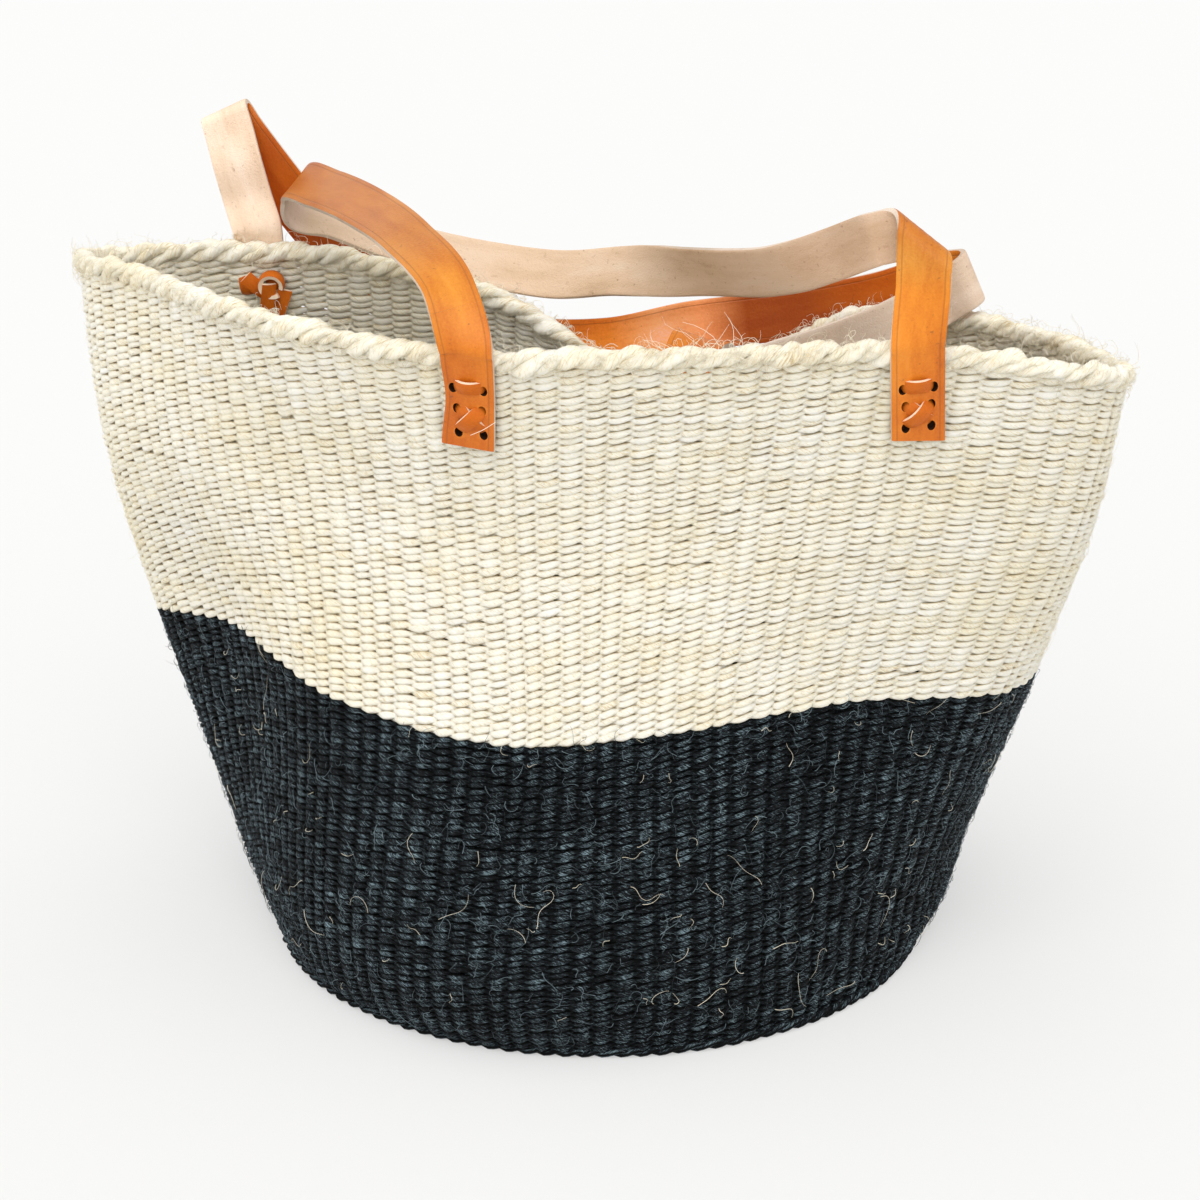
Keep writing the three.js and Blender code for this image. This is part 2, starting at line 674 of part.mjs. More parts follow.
const frontRows = frontStrapRows();
const frontLength = lengthOf(frontRows);
const frontLoopRows = cutRows(frontRows, flexLength + cutGap, frontLength - flexLength - cutGap);
addPiece('front_left_strap_flex', strapBody(cutRows(frontRows, tabGap, flexLength)), leather);
addPiece('front_strap_loop', strapBody(frontLoopRows), leather);
addPiece('front_right_strap_flex', strapBody(cutRows(frontRows, frontLength - flexLength)), leather);

const rear = rearStrapRows();
const rearOuterLength = lengthOf(rear.outer);
const rearLoopEnd = rearOuterLength - rearHandleEndShare * strapWidth;
addPiece('rear_left_strap_flex', strapBody(cutRows(rear.outer, tabGap, flexLength)), leather);
addPiece('rear_strap_loop', strapBody(cutRows(rear.outer, flexLength + cutGap, rearLoopEnd)), leather);
const flexRows = [...cutRows(rear.outer, rearLoopEnd + cutGap, rearOuterLength), ...rear.turn.slice(1)];
addPiece('rear_right_strap_flex', strapBody(flexRows), leather);
addPiece('rear_strap_return', strapBody(cutRows(rear.back, tabGap)), leather);

export default basket;
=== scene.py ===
# A kiondo basket: a twined sisal shopping basket, dark below and cream above, with two leather straps.
# Metres, +Z up, the origin in the middle of the flat underside, the mouth's long way along X, front at -Y.
import math
import bpy
import numpy as np
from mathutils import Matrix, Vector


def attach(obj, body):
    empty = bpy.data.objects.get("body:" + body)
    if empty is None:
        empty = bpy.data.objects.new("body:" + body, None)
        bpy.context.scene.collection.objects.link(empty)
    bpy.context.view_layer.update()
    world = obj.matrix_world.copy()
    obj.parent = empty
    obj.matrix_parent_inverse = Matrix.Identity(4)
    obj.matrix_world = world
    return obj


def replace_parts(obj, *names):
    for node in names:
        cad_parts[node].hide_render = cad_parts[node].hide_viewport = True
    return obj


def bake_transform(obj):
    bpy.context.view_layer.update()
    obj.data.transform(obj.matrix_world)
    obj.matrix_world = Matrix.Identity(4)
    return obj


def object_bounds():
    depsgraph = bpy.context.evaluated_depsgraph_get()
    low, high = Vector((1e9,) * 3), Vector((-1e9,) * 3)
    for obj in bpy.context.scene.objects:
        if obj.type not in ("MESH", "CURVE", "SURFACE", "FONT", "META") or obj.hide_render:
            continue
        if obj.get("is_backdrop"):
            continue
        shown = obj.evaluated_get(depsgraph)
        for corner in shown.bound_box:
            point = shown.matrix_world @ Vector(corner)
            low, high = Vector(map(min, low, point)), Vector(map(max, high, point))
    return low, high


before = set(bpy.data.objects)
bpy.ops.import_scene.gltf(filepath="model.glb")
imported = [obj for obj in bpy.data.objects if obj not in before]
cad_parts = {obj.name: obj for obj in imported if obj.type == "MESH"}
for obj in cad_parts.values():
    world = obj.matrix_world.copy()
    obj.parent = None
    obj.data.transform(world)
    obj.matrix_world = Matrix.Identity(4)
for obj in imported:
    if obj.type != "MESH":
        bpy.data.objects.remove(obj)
cad_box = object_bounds()

# The shape of the basket
# Sisal holds no stiff shape, so the basket leans and sags the way that it was set down.
# Its wall is read from rings that climb from the base to the rim, as a hand would feel them.
MOUTH_LENGTH = 0.5
BASKET_HEIGHT = 0.33
BASE_RADIUS = 0.15
WALL = 0.005
RIM_HEIGHT = 0.01
RIM_BULGE = 0.001
HEEL_OUT_SHARE = 0.6
HEEL_UP_SHARE = 0.32
STRIPE_RING = 3
# Places on each ring from the left tip along the front to the right tip and back along the rear:
# shares of the mouth's length along X and Y, and the share of the height.
LOW_RING = [
    (-0.38, -0.01, 0.14), (-0.282, -0.155, 0.13), (-0.165, -0.273, 0.12), (0, -0.33, 0.12),
    (0.16, -0.27, 0.12), (0.265, -0.145, 0.12), (0.318, 0.04, 0.12), (0.298, 0.2, 0.12),
    (0.16, 0.31, 0.12), (-0.01, 0.35, 0.12), (-0.18, 0.29, 0.12), (-0.32, 0.17, 0.12)]
STRIPE_LEVEL_RING = [
    (-0.45, -0.01, 0.39), (-0.32, -0.12, 0.445), (-0.17, -0.24, 0.44), (0, -0.27, 0.425),
    (0.14, -0.22, 0.44), (0.27, -0.11, 0.45), (0.388, 0.02, 0.42), (0.36, 0.18, 0.4),
    (0.19, 0.25, 0.4), (0.01, 0.26, 0.39), (-0.16, 0.22, 0.4), (-0.33, 0.13, 0.4)]
MIDDLE_RING = [
    (-0.48, -0.04, 0.66), (-0.36, -0.16, 0.72), (-0.19, -0.23, 0.73), (-0.02, -0.25, 0.71),
    (0.15, -0.21, 0.72), (0.31, -0.13, 0.72), (0.458, -0.01, 0.68), (0.39, 0.13, 0.66),
    (0.2, 0.17, 0.65), (0.03, 0.15, 0.62), (-0.15, 0.12, 0.66), (-0.32, 0.07, 0.67)]
RIM_RING = [
    (-0.496, -0.05, 0.94), (-0.36, -0.18, 0.98), (-0.2, -0.28, 0.99), (-0.01, -0.3, 0.985),
    (0.18, -0.25, 0.995), (0.35, -0.16, 0.99), (0.504, -0.06, 0.94), (0.39, 0.06, 0.93),
    (0.22, 0.08, 0.92), (0.06, 0.025, 0.81), (-0.12, 0.04, 0.91), (-0.31, 0.02, 0.95)]


def place(shares):
    """x = share of the mouth's length, y = share of the mouth's length, z = share of the height."""
    return np.asarray(shares, float) * (MOUTH_LENGTH, MOUTH_LENGTH, BASKET_HEIGHT)


def unit(v):
    """v / |v|."""
    return v / np.maximum(np.linalg.norm(v, axis=-1, keepdims=True), 1e-12)


def run_along(points):
    """How far a way has come at each of its points: the sum of the steps up to it."""
    return np.concatenate([[0], np.cumsum(np.linalg.norm(np.diff(points, axis=0), axis=1))])


def cubic(p1, p2, t1, t2, w):
    """The curve that leaves p1 along t1 and comes to p2 along t2, at w from 0 to 1:
    p1 + w t1 + w2 (3 (p2 - p1) - 2 t1 - t2) + w3 (2 (p1 - p2) + t1 + t2)."""
    return p1 + w * t1 + w ** 2 * (3 * (p2 - p1) - 2 * t1 - t2) + w ** 3 * (2 * (p1 - p2) + t1 + t2)


def ring_points(ring, turn):
    """Points on the closed uniform Catmull-Rom curve through a ring, at turn 0 to 1 from the left tip."""
    at = (np.asarray(turn) % 1.0) * len(ring)
    whole = np.floor(at).astype(int)
    p0, p1, p2, p3 = (ring[(whole + k) % len(ring)] for k in (-1, 0, 1, 2))
    return cubic(p1, p2, (p2 - p0) / 2, (p3 - p1) / 2, (at - whole)[:, None])


def spline_points(stops, at):
    """Points on the open centripetal Catmull-Rom curve through stops (..., n, 3), at 0 to n - 1.
    The knots are the square roots of the chords, and each end is drawn on by its own chord."""
    before = 2 * stops[..., :1, :] - stops[..., 1:2, :]
    after = 2 * stops[..., -1:, :] - stops[..., -2:-1, :]
    p = np.concatenate([before, stops, after], axis=-2)
    whole = np.clip(np.floor(at).astype(int), 0, stops.shape[-2] - 2)
    p0, p1, p2, p3 = (p[..., whole + k, :] for k in range(4))
    knot = lambda a, b: np.sqrt(np.linalg.norm(b - a, axis=-1, keepdims=True))
    d0, d1, d2 = knot(p0, p1), knot(p1, p2), knot(p2, p3)
    d0, d2 = np.where(d0 < 1e-6, d1, d0), np.where(d2 < 1e-6, d1, d2)
    t1 = ((p1 - p0) / d0 - (p2 - p0) / (d0 + d1) + (p2 - p1) / d1) * d1
    t2 = ((p2 - p1) / d1 - (p3 - p1) / (d1 + d2) + (p3 - p2) / d2) * d1
    return cubic(p1, p2, t1, t2, (at - whole)[:, None])


base_angle = np.pi + 2 * np.pi * np.arange(len(LOW_RING)) / len(LOW_RING)
base_ring = BASE_RADIUS * np.stack([np.cos(base_angle), np.sin(base_angle), 0 * base_angle], -1)
low_ring = place(LOW_RING)
heel_ring = base_ring + HEEL_OUT_SHARE * (low_ring - base_ring)
heel_ring[:, 2] = low_ring[:, 2] * HEEL_UP_SHARE
rings = [base_ring, heel_ring, low_ring, place(STRIPE_LEVEL_RING), place(MIDDLE_RING), place(RIM_RING)]

# The wall as a table: each column is one warp line from the base's edge to the top of the rim.
COLUMNS = 1100
LEVELS = 400
SIDE_REACH = 4
line_at = np.linspace(0, len(rings) - 1, LEVELS + 1)
column_turn = np.arange(COLUMNS) / COLUMNS
warp_lines = spline_points(np.stack([ring_points(ring, column_turn) for ring in rings], 1), line_at)
line_length = np.stack([run_along(line) for line in warp_lines])
warp_length = line_length[:, -1]
stripe_climb = line_length[:, STRIPE_RING * LEVELS // (len(rings) - 1)]
level_share = np.linspace(0, 1, LEVELS + 1)
wall_table = np.stack([np.stack([np.interp(level_share * run[-1], run, line[:, k]) for k in range(3)], -1)
                       for run, line in zip(line_length, warp_lines)])
side_table = unit(np.roll(wall_table, -SIDE_REACH, 0) - np.roll(wall_table, SIDE_REACH, 0))
up_table = unit(np.gradient(wall_table, axis=1))
out_table = unit(np.cross(side_table, up_table))


def at_turn(values, turn):
    """A value for each column, read between columns at a turn."""
    at = (np.asarray(turn) % 1.0) * COLUMNS
    low = np.floor(at).astype(int) % COLUMNS
    w = at - np.floor(at)
    return values[low] * (1 - w) + values[(low + 1) % COLUMNS] * w


def on_wall(turn, climb, table=wall_table):
    """The table read between its columns and levels: at turn round and climb metres up the warp."""
    at = (turn % 1.0) * COLUMNS
    low = np.floor(at).astype(int) % COLUMNS
    high = (low + 1) % COLUMNS
    level = np.clip(climb / at_turn(warp_length, turn), 0, 1) * LEVELS
    step = np.minimum(np.floor(level).astype(int), LEVELS - 1)
    w, v = (at - np.floor(at))[..., None], (level - step)[..., None]
    return ((table[low, step] * (1 - v) + table[low, step + 1] * v) * (1 - w)
            + (table[high, step] * (1 - v) + table[high, step + 1] * v) * w)


def wall_frame(turn, climb):
    """Point, way out and way up of the wall's outer face."""
    return on_wall(turn, climb), unit(on_wall(turn, climb, out_table)), unit(on_wall(turn, climb, up_table))


def linked(name, data):
    """A new object in the scene, at the origin."""
    made = bpy.data.objects.new(name, data)
    bpy.context.scene.collection.objects.link(made)
    return made


# The warps
# 110 stiff sisal cords stand in the wall. The weaving hides them but for a glimpse between two stitches.
# They are drawn as thin tubes in the middle of the wall, in each colour's part.
WARPS = 110
WARP_RADIUS = 0.0009
WARP_PARTS = 24
# How often a strand's fibres wind round it in a metre, and how far the maps of two strands may lie apart.
FIBRE_TURNS = 70.0
MAP_SPAN = 9


def material(name, roughness, shine):
    """A node material with its roughness and shine set, and a helper that adds a node with its values set."""
    made = bpy.data.materials.new(name)
    made.use_nodes = True
    nodes, links = made.node_tree.nodes, made.node_tree.links
    shader = nodes["Principled BSDF"]
    shader.inputs["Roughness"].default_value = roughness
    shader.inputs["Specular IOR Level"].default_value = shine

    def add(kind, inputs=None, **settings):
        node = nodes.new("ShaderNode" + kind)
        for key, value in settings.items():
            setattr(node, key, value)
        for key, value in (inputs or {}).items():
            if isinstance(value, bpy.types.NodeSocket):
                links.new(value, node.inputs[key])
            else:
                node.inputs[key].default_value = value
        return node

    return made, shader, add, links


def ramp(add, factor, stops):
    """A colour ramp with (place, colour) stops."""
    node = add("ValToRGB", {"Fac": factor})
    while len(node.color_ramp.elements) < len(stops):
        node.color_ramp.elements.new(0.5)
    for element, (at, colour) in zip(node.color_ramp.elements, stops):
        element.position = at
        element.color = (*colour, 1)
    return node.outputs["Color"]


def noise(add, vector, scale, detail, roughness):
    """Noise from 0 to 1 over a map."""
    values = {"Vector": vector, "Scale": scale, "Detail": detail, "Roughness": roughness}
    return add("TexNoise", values).outputs[0]


def between(add, value, low, high, at_low=0.0, at_high=1.0, **settings):
    """at_low where the value is low, at_high where it is high, and held outside them."""
    return add("MapRange", {0: value, 1: low, 2: high, 3: at_low, 4: at_high}, **settings).outputs[0]


def calculated(add, operation, *values, **settings):
    """One sum in a material."""
    return add("Math", dict(enumerate(values)), operation=operation, **settings).outputs[0]


def mixed(add, factor, first, second, blend="MIX"):
    """The first colour, with the second over it by the factor."""
    node = add("Mix", {"Factor": factor, "A": first, "B": second}, data_type="RGBA", blend_type=blend)
    return node.outputs["Result"]


def sisal(name, shades, spread, stain, fleck_and_shade_colour, shade_reaches, fleck_share, roughness, shine):
    """Twisted sisal: shades along and across the fibres of each strand, spread about the stitch's own Tone, stain in
    wide soft patches, dark flecks of the fleck and shade colour, and the same colour as painted shade in the gaps and
    valleys of the weave, where Reach falls from the higher to the lower of the two shade reaches. The strand's own map
    runs along it in metres (U) and round it from 0 to 1 (V)."""
    made, shader, add, links = material(name, roughness, shine)
    split = add("SeparateXYZ", {0: add("UVMap", uv_map="Strand").outputs["UV"]})
    twisted = calculated(add, "MULTIPLY_ADD", split.outputs["X"], FIBRE_TURNS, split.outputs["Y"])
    fibre_map = add("CombineXYZ", {0: split.outputs["X"], 1: twisted}).outputs[0]
    fine = noise(add, add("Mapping", {0: fibre_map, "Scale": (150.0, 12.0, 1.0)}).outputs[0], 1.6, 5.0, 0.75)
    tone = add("Attribute", attribute_name="Tone").outputs["Fac"]
    streaks = between(add, fine, 0.33, 0.67, -0.5, 0.5)
    colour = ramp(add, calculated(add, "MULTIPLY_ADD", streaks, spread, tone), shades)
    body = add("TexCoord").outputs["Object"]
    patch = between(add, noise(add, body, 14.0, 4.0, 0.65), 0.4, 0.7)
    stained = mixed(add, patch, colour, (*stain, 1), "MULTIPLY")
    fleck = between(add, noise(add, body, 420.0, 2.0, 0.7), 0.62, 0.72, 0.0, fleck_share)
    dotted = mixed(add, fleck, stained, (*fleck_and_shade_colour, 1))
    reach = add("Attribute", attribute_name="Reach").outputs["Fac"]
    # Painted shade: where Reach is low, in the gaps and valleys of the weave, the colour goes over to the fleck and
    # shade colour.
    sunk = between(add, reach, *shade_reaches, 1.0, 0.0, interpolation_type="SMOOTHSTEP")
    links.new(mixed(add, sunk, dotted, (*fleck_and_shade_colour, 1)), shader.inputs["Base Color"])
    bump = add("Bump", {"Height": fine, "Strength": 0.9, "Distance": 0.0011})
    links.new(bump.outputs[0], shader.inputs["Normal"])
    return made


CREAM_SHADES = [(0.0, (0.66, 0.5, 0.28)), (0.3, (0.88, 0.78, 0.56)), (0.55, (0.96, 0.91, 0.765)),
                (0.8, (0.98, 0.95, 0.84)), (1.0, (0.985, 0.965, 0.9))]
# The bluish greys at the top of the dark ramp are painted highlight, the fibres' sheen, over their own near-black.
DARK_SHADES = [(0.0, (0.0025, 0.003, 0.0035)), (0.4, (0.008, 0.009, 0.0105)), (0.6, (0.021, 0.026, 0.03)),
               (0.8, (0.066, 0.098, 0.115)), (1.0, (0.26, 0.36, 0.4))]
cream_sisal = sisal("cream_sisal", CREAM_SHADES, spread=1.15, stain=(0.97, 0.93, 0.82),
                    fleck_and_shade_colour=(0.76, 0.61, 0.37), shade_reaches=(0.08, 0.32), fleck_share=0.3, roughness=0.8, shine=0.2)
dark_sisal = sisal("dark_sisal", DARK_SHADES, spread=1.8, stain=(0.5, 0.5, 0.5),
                   fleck_and_shade_colour=(0.0015, 0.0016, 0.0018), shade_reaches=(0.22, 0.74), fleck_share=0.5,
                   roughness=0.6, shine=0.1)


def strand_mesh(name, centre, out, up, half_out, half_up, tone, length, finish,
                closed=True, sides=6, shown=1, ridges=1):
    """Tubes of elliptic cut along arrays of paths (..., rings, 3), all other arrays spread to that shape:
    point = centre + ridges (half_out cos(a) out + half_up sin(a) up), with a at equal steps round the cut.
    Closed tubes join their last ring to the first, and open ones end in a flat face.
    Reach = shown |cos(a)|, highest on the middle of a stitch, and shown all round on a ridged tube. The sisal paints
    shade where Reach is low."""
    shape, count = centre.shape[:-1], centre.shape[-2]
    each = lambda values: np.broadcast_to(values, shape).reshape(-1, count)
    centre, out, up = (np.broadcast_to(v, (*shape, 3)).reshape(-1, count, 3) for v in (centre, out, up))
    strands = len(centre)
    angle = 2 * np.pi * (np.arange(sides) + 0.5) / sides
    outward = (ridges * each(half_out)[..., None] * np.cos(angle))[..., None]
    upward = (ridges * each(half_up)[..., None] * np.sin(angle))[..., None]
    points = centre[:, :, None] + outward * out[:, :, None] + upward * up[:, :, None]
    ring, side = np.arange(count if closed else count - 1), np.arange(sides)
    next_ring, next_side = (ring + 1) % count, (side + 1) % sides
    first_point = np.arange(strands)[:, None, None] * count * sides
    corner = lambda number, way: first_point + number[:, None] * sides + way
    loops = np.stack([corner(ring, side), corner(ring, next_side), corner(next_ring, next_side),
                      corner(next_ring, side)], -1).reshape(-1)
    totals = np.full(len(loops) // 4, 4)
    run = each(length)
    u0 = run[:, ring]
    u1 = np.where(next_ring == 0, u0 + (run[:, 1:2] - run[:, 0:1]), run[:, next_ring])
    u0, u1, v0 = np.broadcast_arrays(u0[..., None], u1[..., None], side / sides)
    v1 = v0 + 1 / sides
    uvs = np.stack([np.stack(uv, -1) for uv in ((u0, v0), (u0, v1), (u1, v1), (u1, v0))], -2).reshape(-1, 2)
    if not closed:
        ends = [first_point[:, 0] + side, first_point[:, 0] + (count - 1) * sides + side[::-1]]
        loops = np.concatenate([loops, *(end.reshape(-1) for end in ends)])
        totals = np.concatenate([totals, np.full(2 * strands, sides)])
        uvs = np.concatenate([uvs, np.zeros((2 * strands * sides, 2))])
    mesh = bpy.data.meshes.new(name)
    mesh.vertices.add(strands * count * sides)
    mesh.vertices.foreach_set("co", points.reshape(-1))
    mesh.loops.add(len(loops))
    mesh.loops.foreach_set("vertex_index", loops.astype(np.int32))
    mesh.polygons.add(len(totals))
    mesh.polygons.foreach_set("loop_start", np.concatenate([[0], np.cumsum(totals)[:-1]]).astype(np.int32))
    mesh.uv_layers.new(name="Strand").data.foreach_set("uv", uvs.reshape(-1).astype(np.float32))
    mesh.update(calc_edges=True)
    mesh.polygons.foreach_set("use_smooth", np.ones(len(totals), bool))
    reach = each(shown)[..., None] * (np.abs(np.cos(angle)) if np.ndim(ridges) == 0 else np.ones(sides))
    for kind, values in (("Tone", np.repeat(each(tone), sides)), ("Reach", reach.reshape(-1))):
        mesh.attributes.new(kind, "FLOAT", "POINT").data.foreach_set("value", values.astype(np.float32))
    mesh.materials.append(finish)
    return linked(name, mesh)


def warp_cords(name, low, high, finish, seed):
    """Tubes up the wall's middle: centre = wall - WALL / 2 out, from climb low to climb high of each warp."""
    climb = low[:, None] + (high - low)[:, None] * np.linspace(0, 1, WARP_PARTS)
    point, out, up = wall_frame(np.broadcast_to(warp_turn[:, None], climb.shape), climb)
    tone = np.random.default_rng(seed).uniform(0.3, 0.6, (WARPS, 1))
    # The cords' Reach is halved, so they take more of the painted shade that the sisal gives to the gaps of the weave.
    cords = strand_mesh(name, point - WALL / 2 * out, out, unit(np.cross(up, out)), WARP_RADIUS, WARP_RADIUS,
                        tone, climb, finish, closed=False, sides=5, shown=0.5)
    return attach(cords, "basket")


warp_turn = np.arange(WARPS) / WARPS
WARP_FOOT = 0.001
stripe_at_warp = at_turn(stripe_climb, warp_turn)
top_at_warp = at_turn(warp_length, warp_turn) - RIM_HEIGHT / 2
warp_cords("dark_warps", np.full(WARPS, WARP_FOOT), stripe_at_warp, dark_sisal, 11)
warp_cords("cream_warps", stripe_at_warp, top_at_warp, cream_sisal, 12)

# The twined walls
# Each row is two strands of sisal that pass before and behind the warps by turns and twist half round each
# other between them, so each warp shows one lens-shaped stitch that rises to the right. Packed hard, the
# rows hide the warps. The dark rows end at the stripe and the cream rows go on to the rim.
DARK_ROWS = 51
CREAM_ROWS = 50
BANDS = 4
STITCH_PARTS = 5
STRAND_HALF_THICKNESS = 0.0013
STRAND_SWAY = 0.0015
STRAND_SWAY_SPREAD = 0.00018
STRAND_SIZE_SPREAD = 0.08
ROW_LENGTH = 1.05
ROW_SLIP = 0.0002
ROW_DRIFT = 0.00015
DRIFT_PLACES = 36
FIRST_ROW_CLIMB = 0.003
# How each colour is woven: the stitches' tone and its spread, how plump they are, how far the strand's Reach stays up
# between two stitches, which keeps painted shade out of the gaps there, and how far a strand climbs within its row, in
# rows.
DARK_WEAVE = {"tone_middle": 0.47, "tone_spread": 0.08, "plump": 1.1, "sunk": 0.25, "twist": 0.2}
CREAM_WEAVE = {"tone_middle": 0.7, "tone_spread": 0.07, "plump": 0.8, "sunk": 0.55, "twist": 0.23}
rib_shift = np.random.default_rng(90).normal(0, 0.07, WARPS)


def twined_rows(name, low, high, rows, total, finish, seed, tone_middle, tone_spread, plump, sunk, twist):
    """Two strands for each row. With f = pi (warps passed + strand) and s = |cos f| to the power plump: out = sway s
    with the sign of cos f, rise = twist sin f, half height = (0.31 + 0.27 s) pitch, and the share shown = sunk + (1 -
    sunk) s, which sets the Reach below which the sisal paints shade."""
    draw = np.random.default_rng(seed)
    passed = np.arange(WARPS * STITCH_PARTS) / STITCH_PARTS
    f = np.pi * (passed + np.arange(2)[None, :, None])
    stitch = np.round(passed).astype(int) % WARPS
    each = lambda spread: draw.normal(0, spread, (len(rows), 2, WARPS))[:, :, stitch]
    shift = np.interp(passed, np.arange(WARPS + 1), np.append(rib_shift, rib_shift[0]))
    turn = np.broadcast_to((passed + shift) / WARPS, (len(rows), 2, len(passed)))
    pitch = (at_turn(high, turn) - at_turn(low, turn)) / total
    drift_place = np.arange(DRIFT_PLACES) / DRIFT_PLACES
    apart = 0.5 - np.abs((passed[:, None] / WARPS - drift_place) % 1 - 0.5)
    weight = np.maximum(0, 1 - DRIFT_PLACES * apart)
    drift = np.einsum("rsk,pk->rsp", draw.normal(0, 1, (len(rows), 1, DRIFT_PLACES)), weight) * ROW_DRIFT
    row = np.asarray(rows)[:, None, None]
    climb = at_turn(low, turn) + (row + 0.5) * pitch + twist * pitch * np.sin(f) + each(ROW_SLIP) + drift
    point, out, up = wall_frame(turn, climb)
    swell = np.abs(np.cos(f)) ** plump
    depth = STRAND_SWAY * swell * np.sign(np.cos(f)) + each(STRAND_SWAY_SPREAD)
    half_up = (0.31 + 0.27 * swell) * pitch * (1 + each(STRAND_SIZE_SPREAD))
    half_out = STRAND_HALF_THICKNESS * (0.9 + 0.15 * swell) * (1 + each(STRAND_SIZE_SPREAD))
    tone = tone_middle + each(tone_spread) + draw.normal(0, tone_spread * 0.8, (len(rows), 2, 1))
    length = passed * ROW_LENGTH / WARPS + draw.uniform(0, MAP_SPAN, (len(rows), 2, 1))
    return strand_mesh(name, point + (depth - WALL / 2)[..., None] * out, out, up, half_out, half_up,
                       np.clip(tone, 0, 1), length, finish, shown=sunk + (1 - sunk) * swell)


def twined_wall(name, node, low, high, total, finish, seed, weave):
    """A colour's wall in bands of rows, each its own piece."""
    for number, rows in enumerate(np.array_split(np.arange(total), BANDS), 1):
        piece = twined_rows(f"{name}_{number}", low, high, rows, total, finish, seed + number, **weave)
        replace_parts(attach(piece, "basket"), node)


twined_wall("dark_rows", "dark_wall", np.full(COLUMNS, FIRST_ROW_CLIMB), stripe_climb,
            DARK_ROWS, dark_sisal, 100, DARK_WEAVE)
twined_wall("cream_rows", "cream_wall", stripe_climb, warp_length - RIM_HEIGHT + 0.001,
            CREAM_ROWS, cream_sisal, 200, CREAM_WEAVE)

# The woven base
# The base is twined in rings round a middle knot, and warps are added as it widens, so that the ribs keep
# their width. The last rings turn up into the wall.
BASE_THICKNESS = 0.005
BASE_PITCH = 0.0035
BASE_STITCH_PARTS = 3
BASE_SWAY = 0.001
BASE_TWIST = 0.0008
BASE_RING_SLIP = 0.0002
BASE_HALF_WIDTHS = (0.001, 0.0019)
BASE_HALF_THICKNESS = 0.00135
BASE_TONE_SPREAD = 0.15
FIRST_RING_OUT = 0.0015
# From and to which radius the base has how many ribs.
BASE_ZONES = [(0.003, 0.034, 22), (0.034, 0.075, 56), (0.075, 0.1488, 110)]


def base_rings(name, radii, ribs, seed):
    """Twined rings of radius r + twist sin f, with f = pi (ribs passed + strand):
    x = -r cos(2 pi t), y = -r sin(2 pi t), z = BASE_THICKNESS / 2 - sway cos f."""
    draw = np.random.default_rng(seed)
    passed = np.arange(ribs * BASE_STITCH_PARTS) / BASE_STITCH_PARTS
    f = np.pi * (passed + np.arange(2)[None, :, None])
    stitch = np.round(passed).astype(int) % ribs
    each = lambda spread: draw.normal(0, spread, (len(radii), 2, ribs))[:, :, stitch]
    angle = 2 * np.pi * passed / ribs + np.pi
    ray = np.stack([np.cos(angle), np.sin(angle), 0 * angle], -1)
    radius = radii[:, None, None] + BASE_TWIST * np.sin(f) + each(BASE_RING_SLIP)
    height = BASE_THICKNESS / 2 - BASE_SWAY * np.cos(f)
    centre = radius[..., None] * ray + height[..., None] * np.array([0, 0, 1.0])
    swell = np.abs(np.cos(f))
    thin, fat = BASE_HALF_WIDTHS
    half_up = (thin + (fat - thin) * swell) * (1 + each(STRAND_SIZE_SPREAD))
    half_out = BASE_HALF_THICKNESS * (0.9 + 0.1 * swell)
    tone = np.clip(0.5 + each(BASE_TONE_SPREAD), 0, 1)
    run = passed * 2 * np.pi * radii[:, None, None] / ribs + draw.uniform(0, MAP_SPAN, (len(radii), 2, 1))
    return strand_mesh(name, centre, np.array([0, 0, -1.0]), -ray, half_out, half_up, tone, run, dark_sisal)


for number, (inner, outer, ribs) in enumerate(BASE_ZONES, 1):
    radii = np.arange(inner, outer, BASE_PITCH) + FIRST_RING_OUT
    piece = base_rings(f"base_rings_{number}", radii, ribs, 300 + number)
    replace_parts(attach(piece, "basket"), "woven_base")

# The roped rim
# The ends of the warps are turned over and laid round each other along the edge in three thick, loosely
# twisted strands, so that the rim shows one fat stitch after the other, all slanting up to the right.
RIM_TURNS = 46
RIM_PARTS = 16
RIM_SIDES = 12
RIM_RISE = 0.0026
RIM_REACH = 0.002
RIM_HALF_THICKNESS = 0.0025
RIM_RIDGES = (2, 3, 5)
RIM_RIDGE_SHARE = 0.08
# How unevenly the rope is laid: the spread of its strands' rise, reach, size and tone, and at how many places
# round the rim each of these is drawn.
RISE_LUMPS = (0.0008, 150)
REACH_LUMPS = (0.0006, 150)
SIZE_LUMPS = (0.2, 260)
TONE_LUMPS = (0.12, 160)
RIM_TONE = 0.58
RIM_SAG = 0.0002


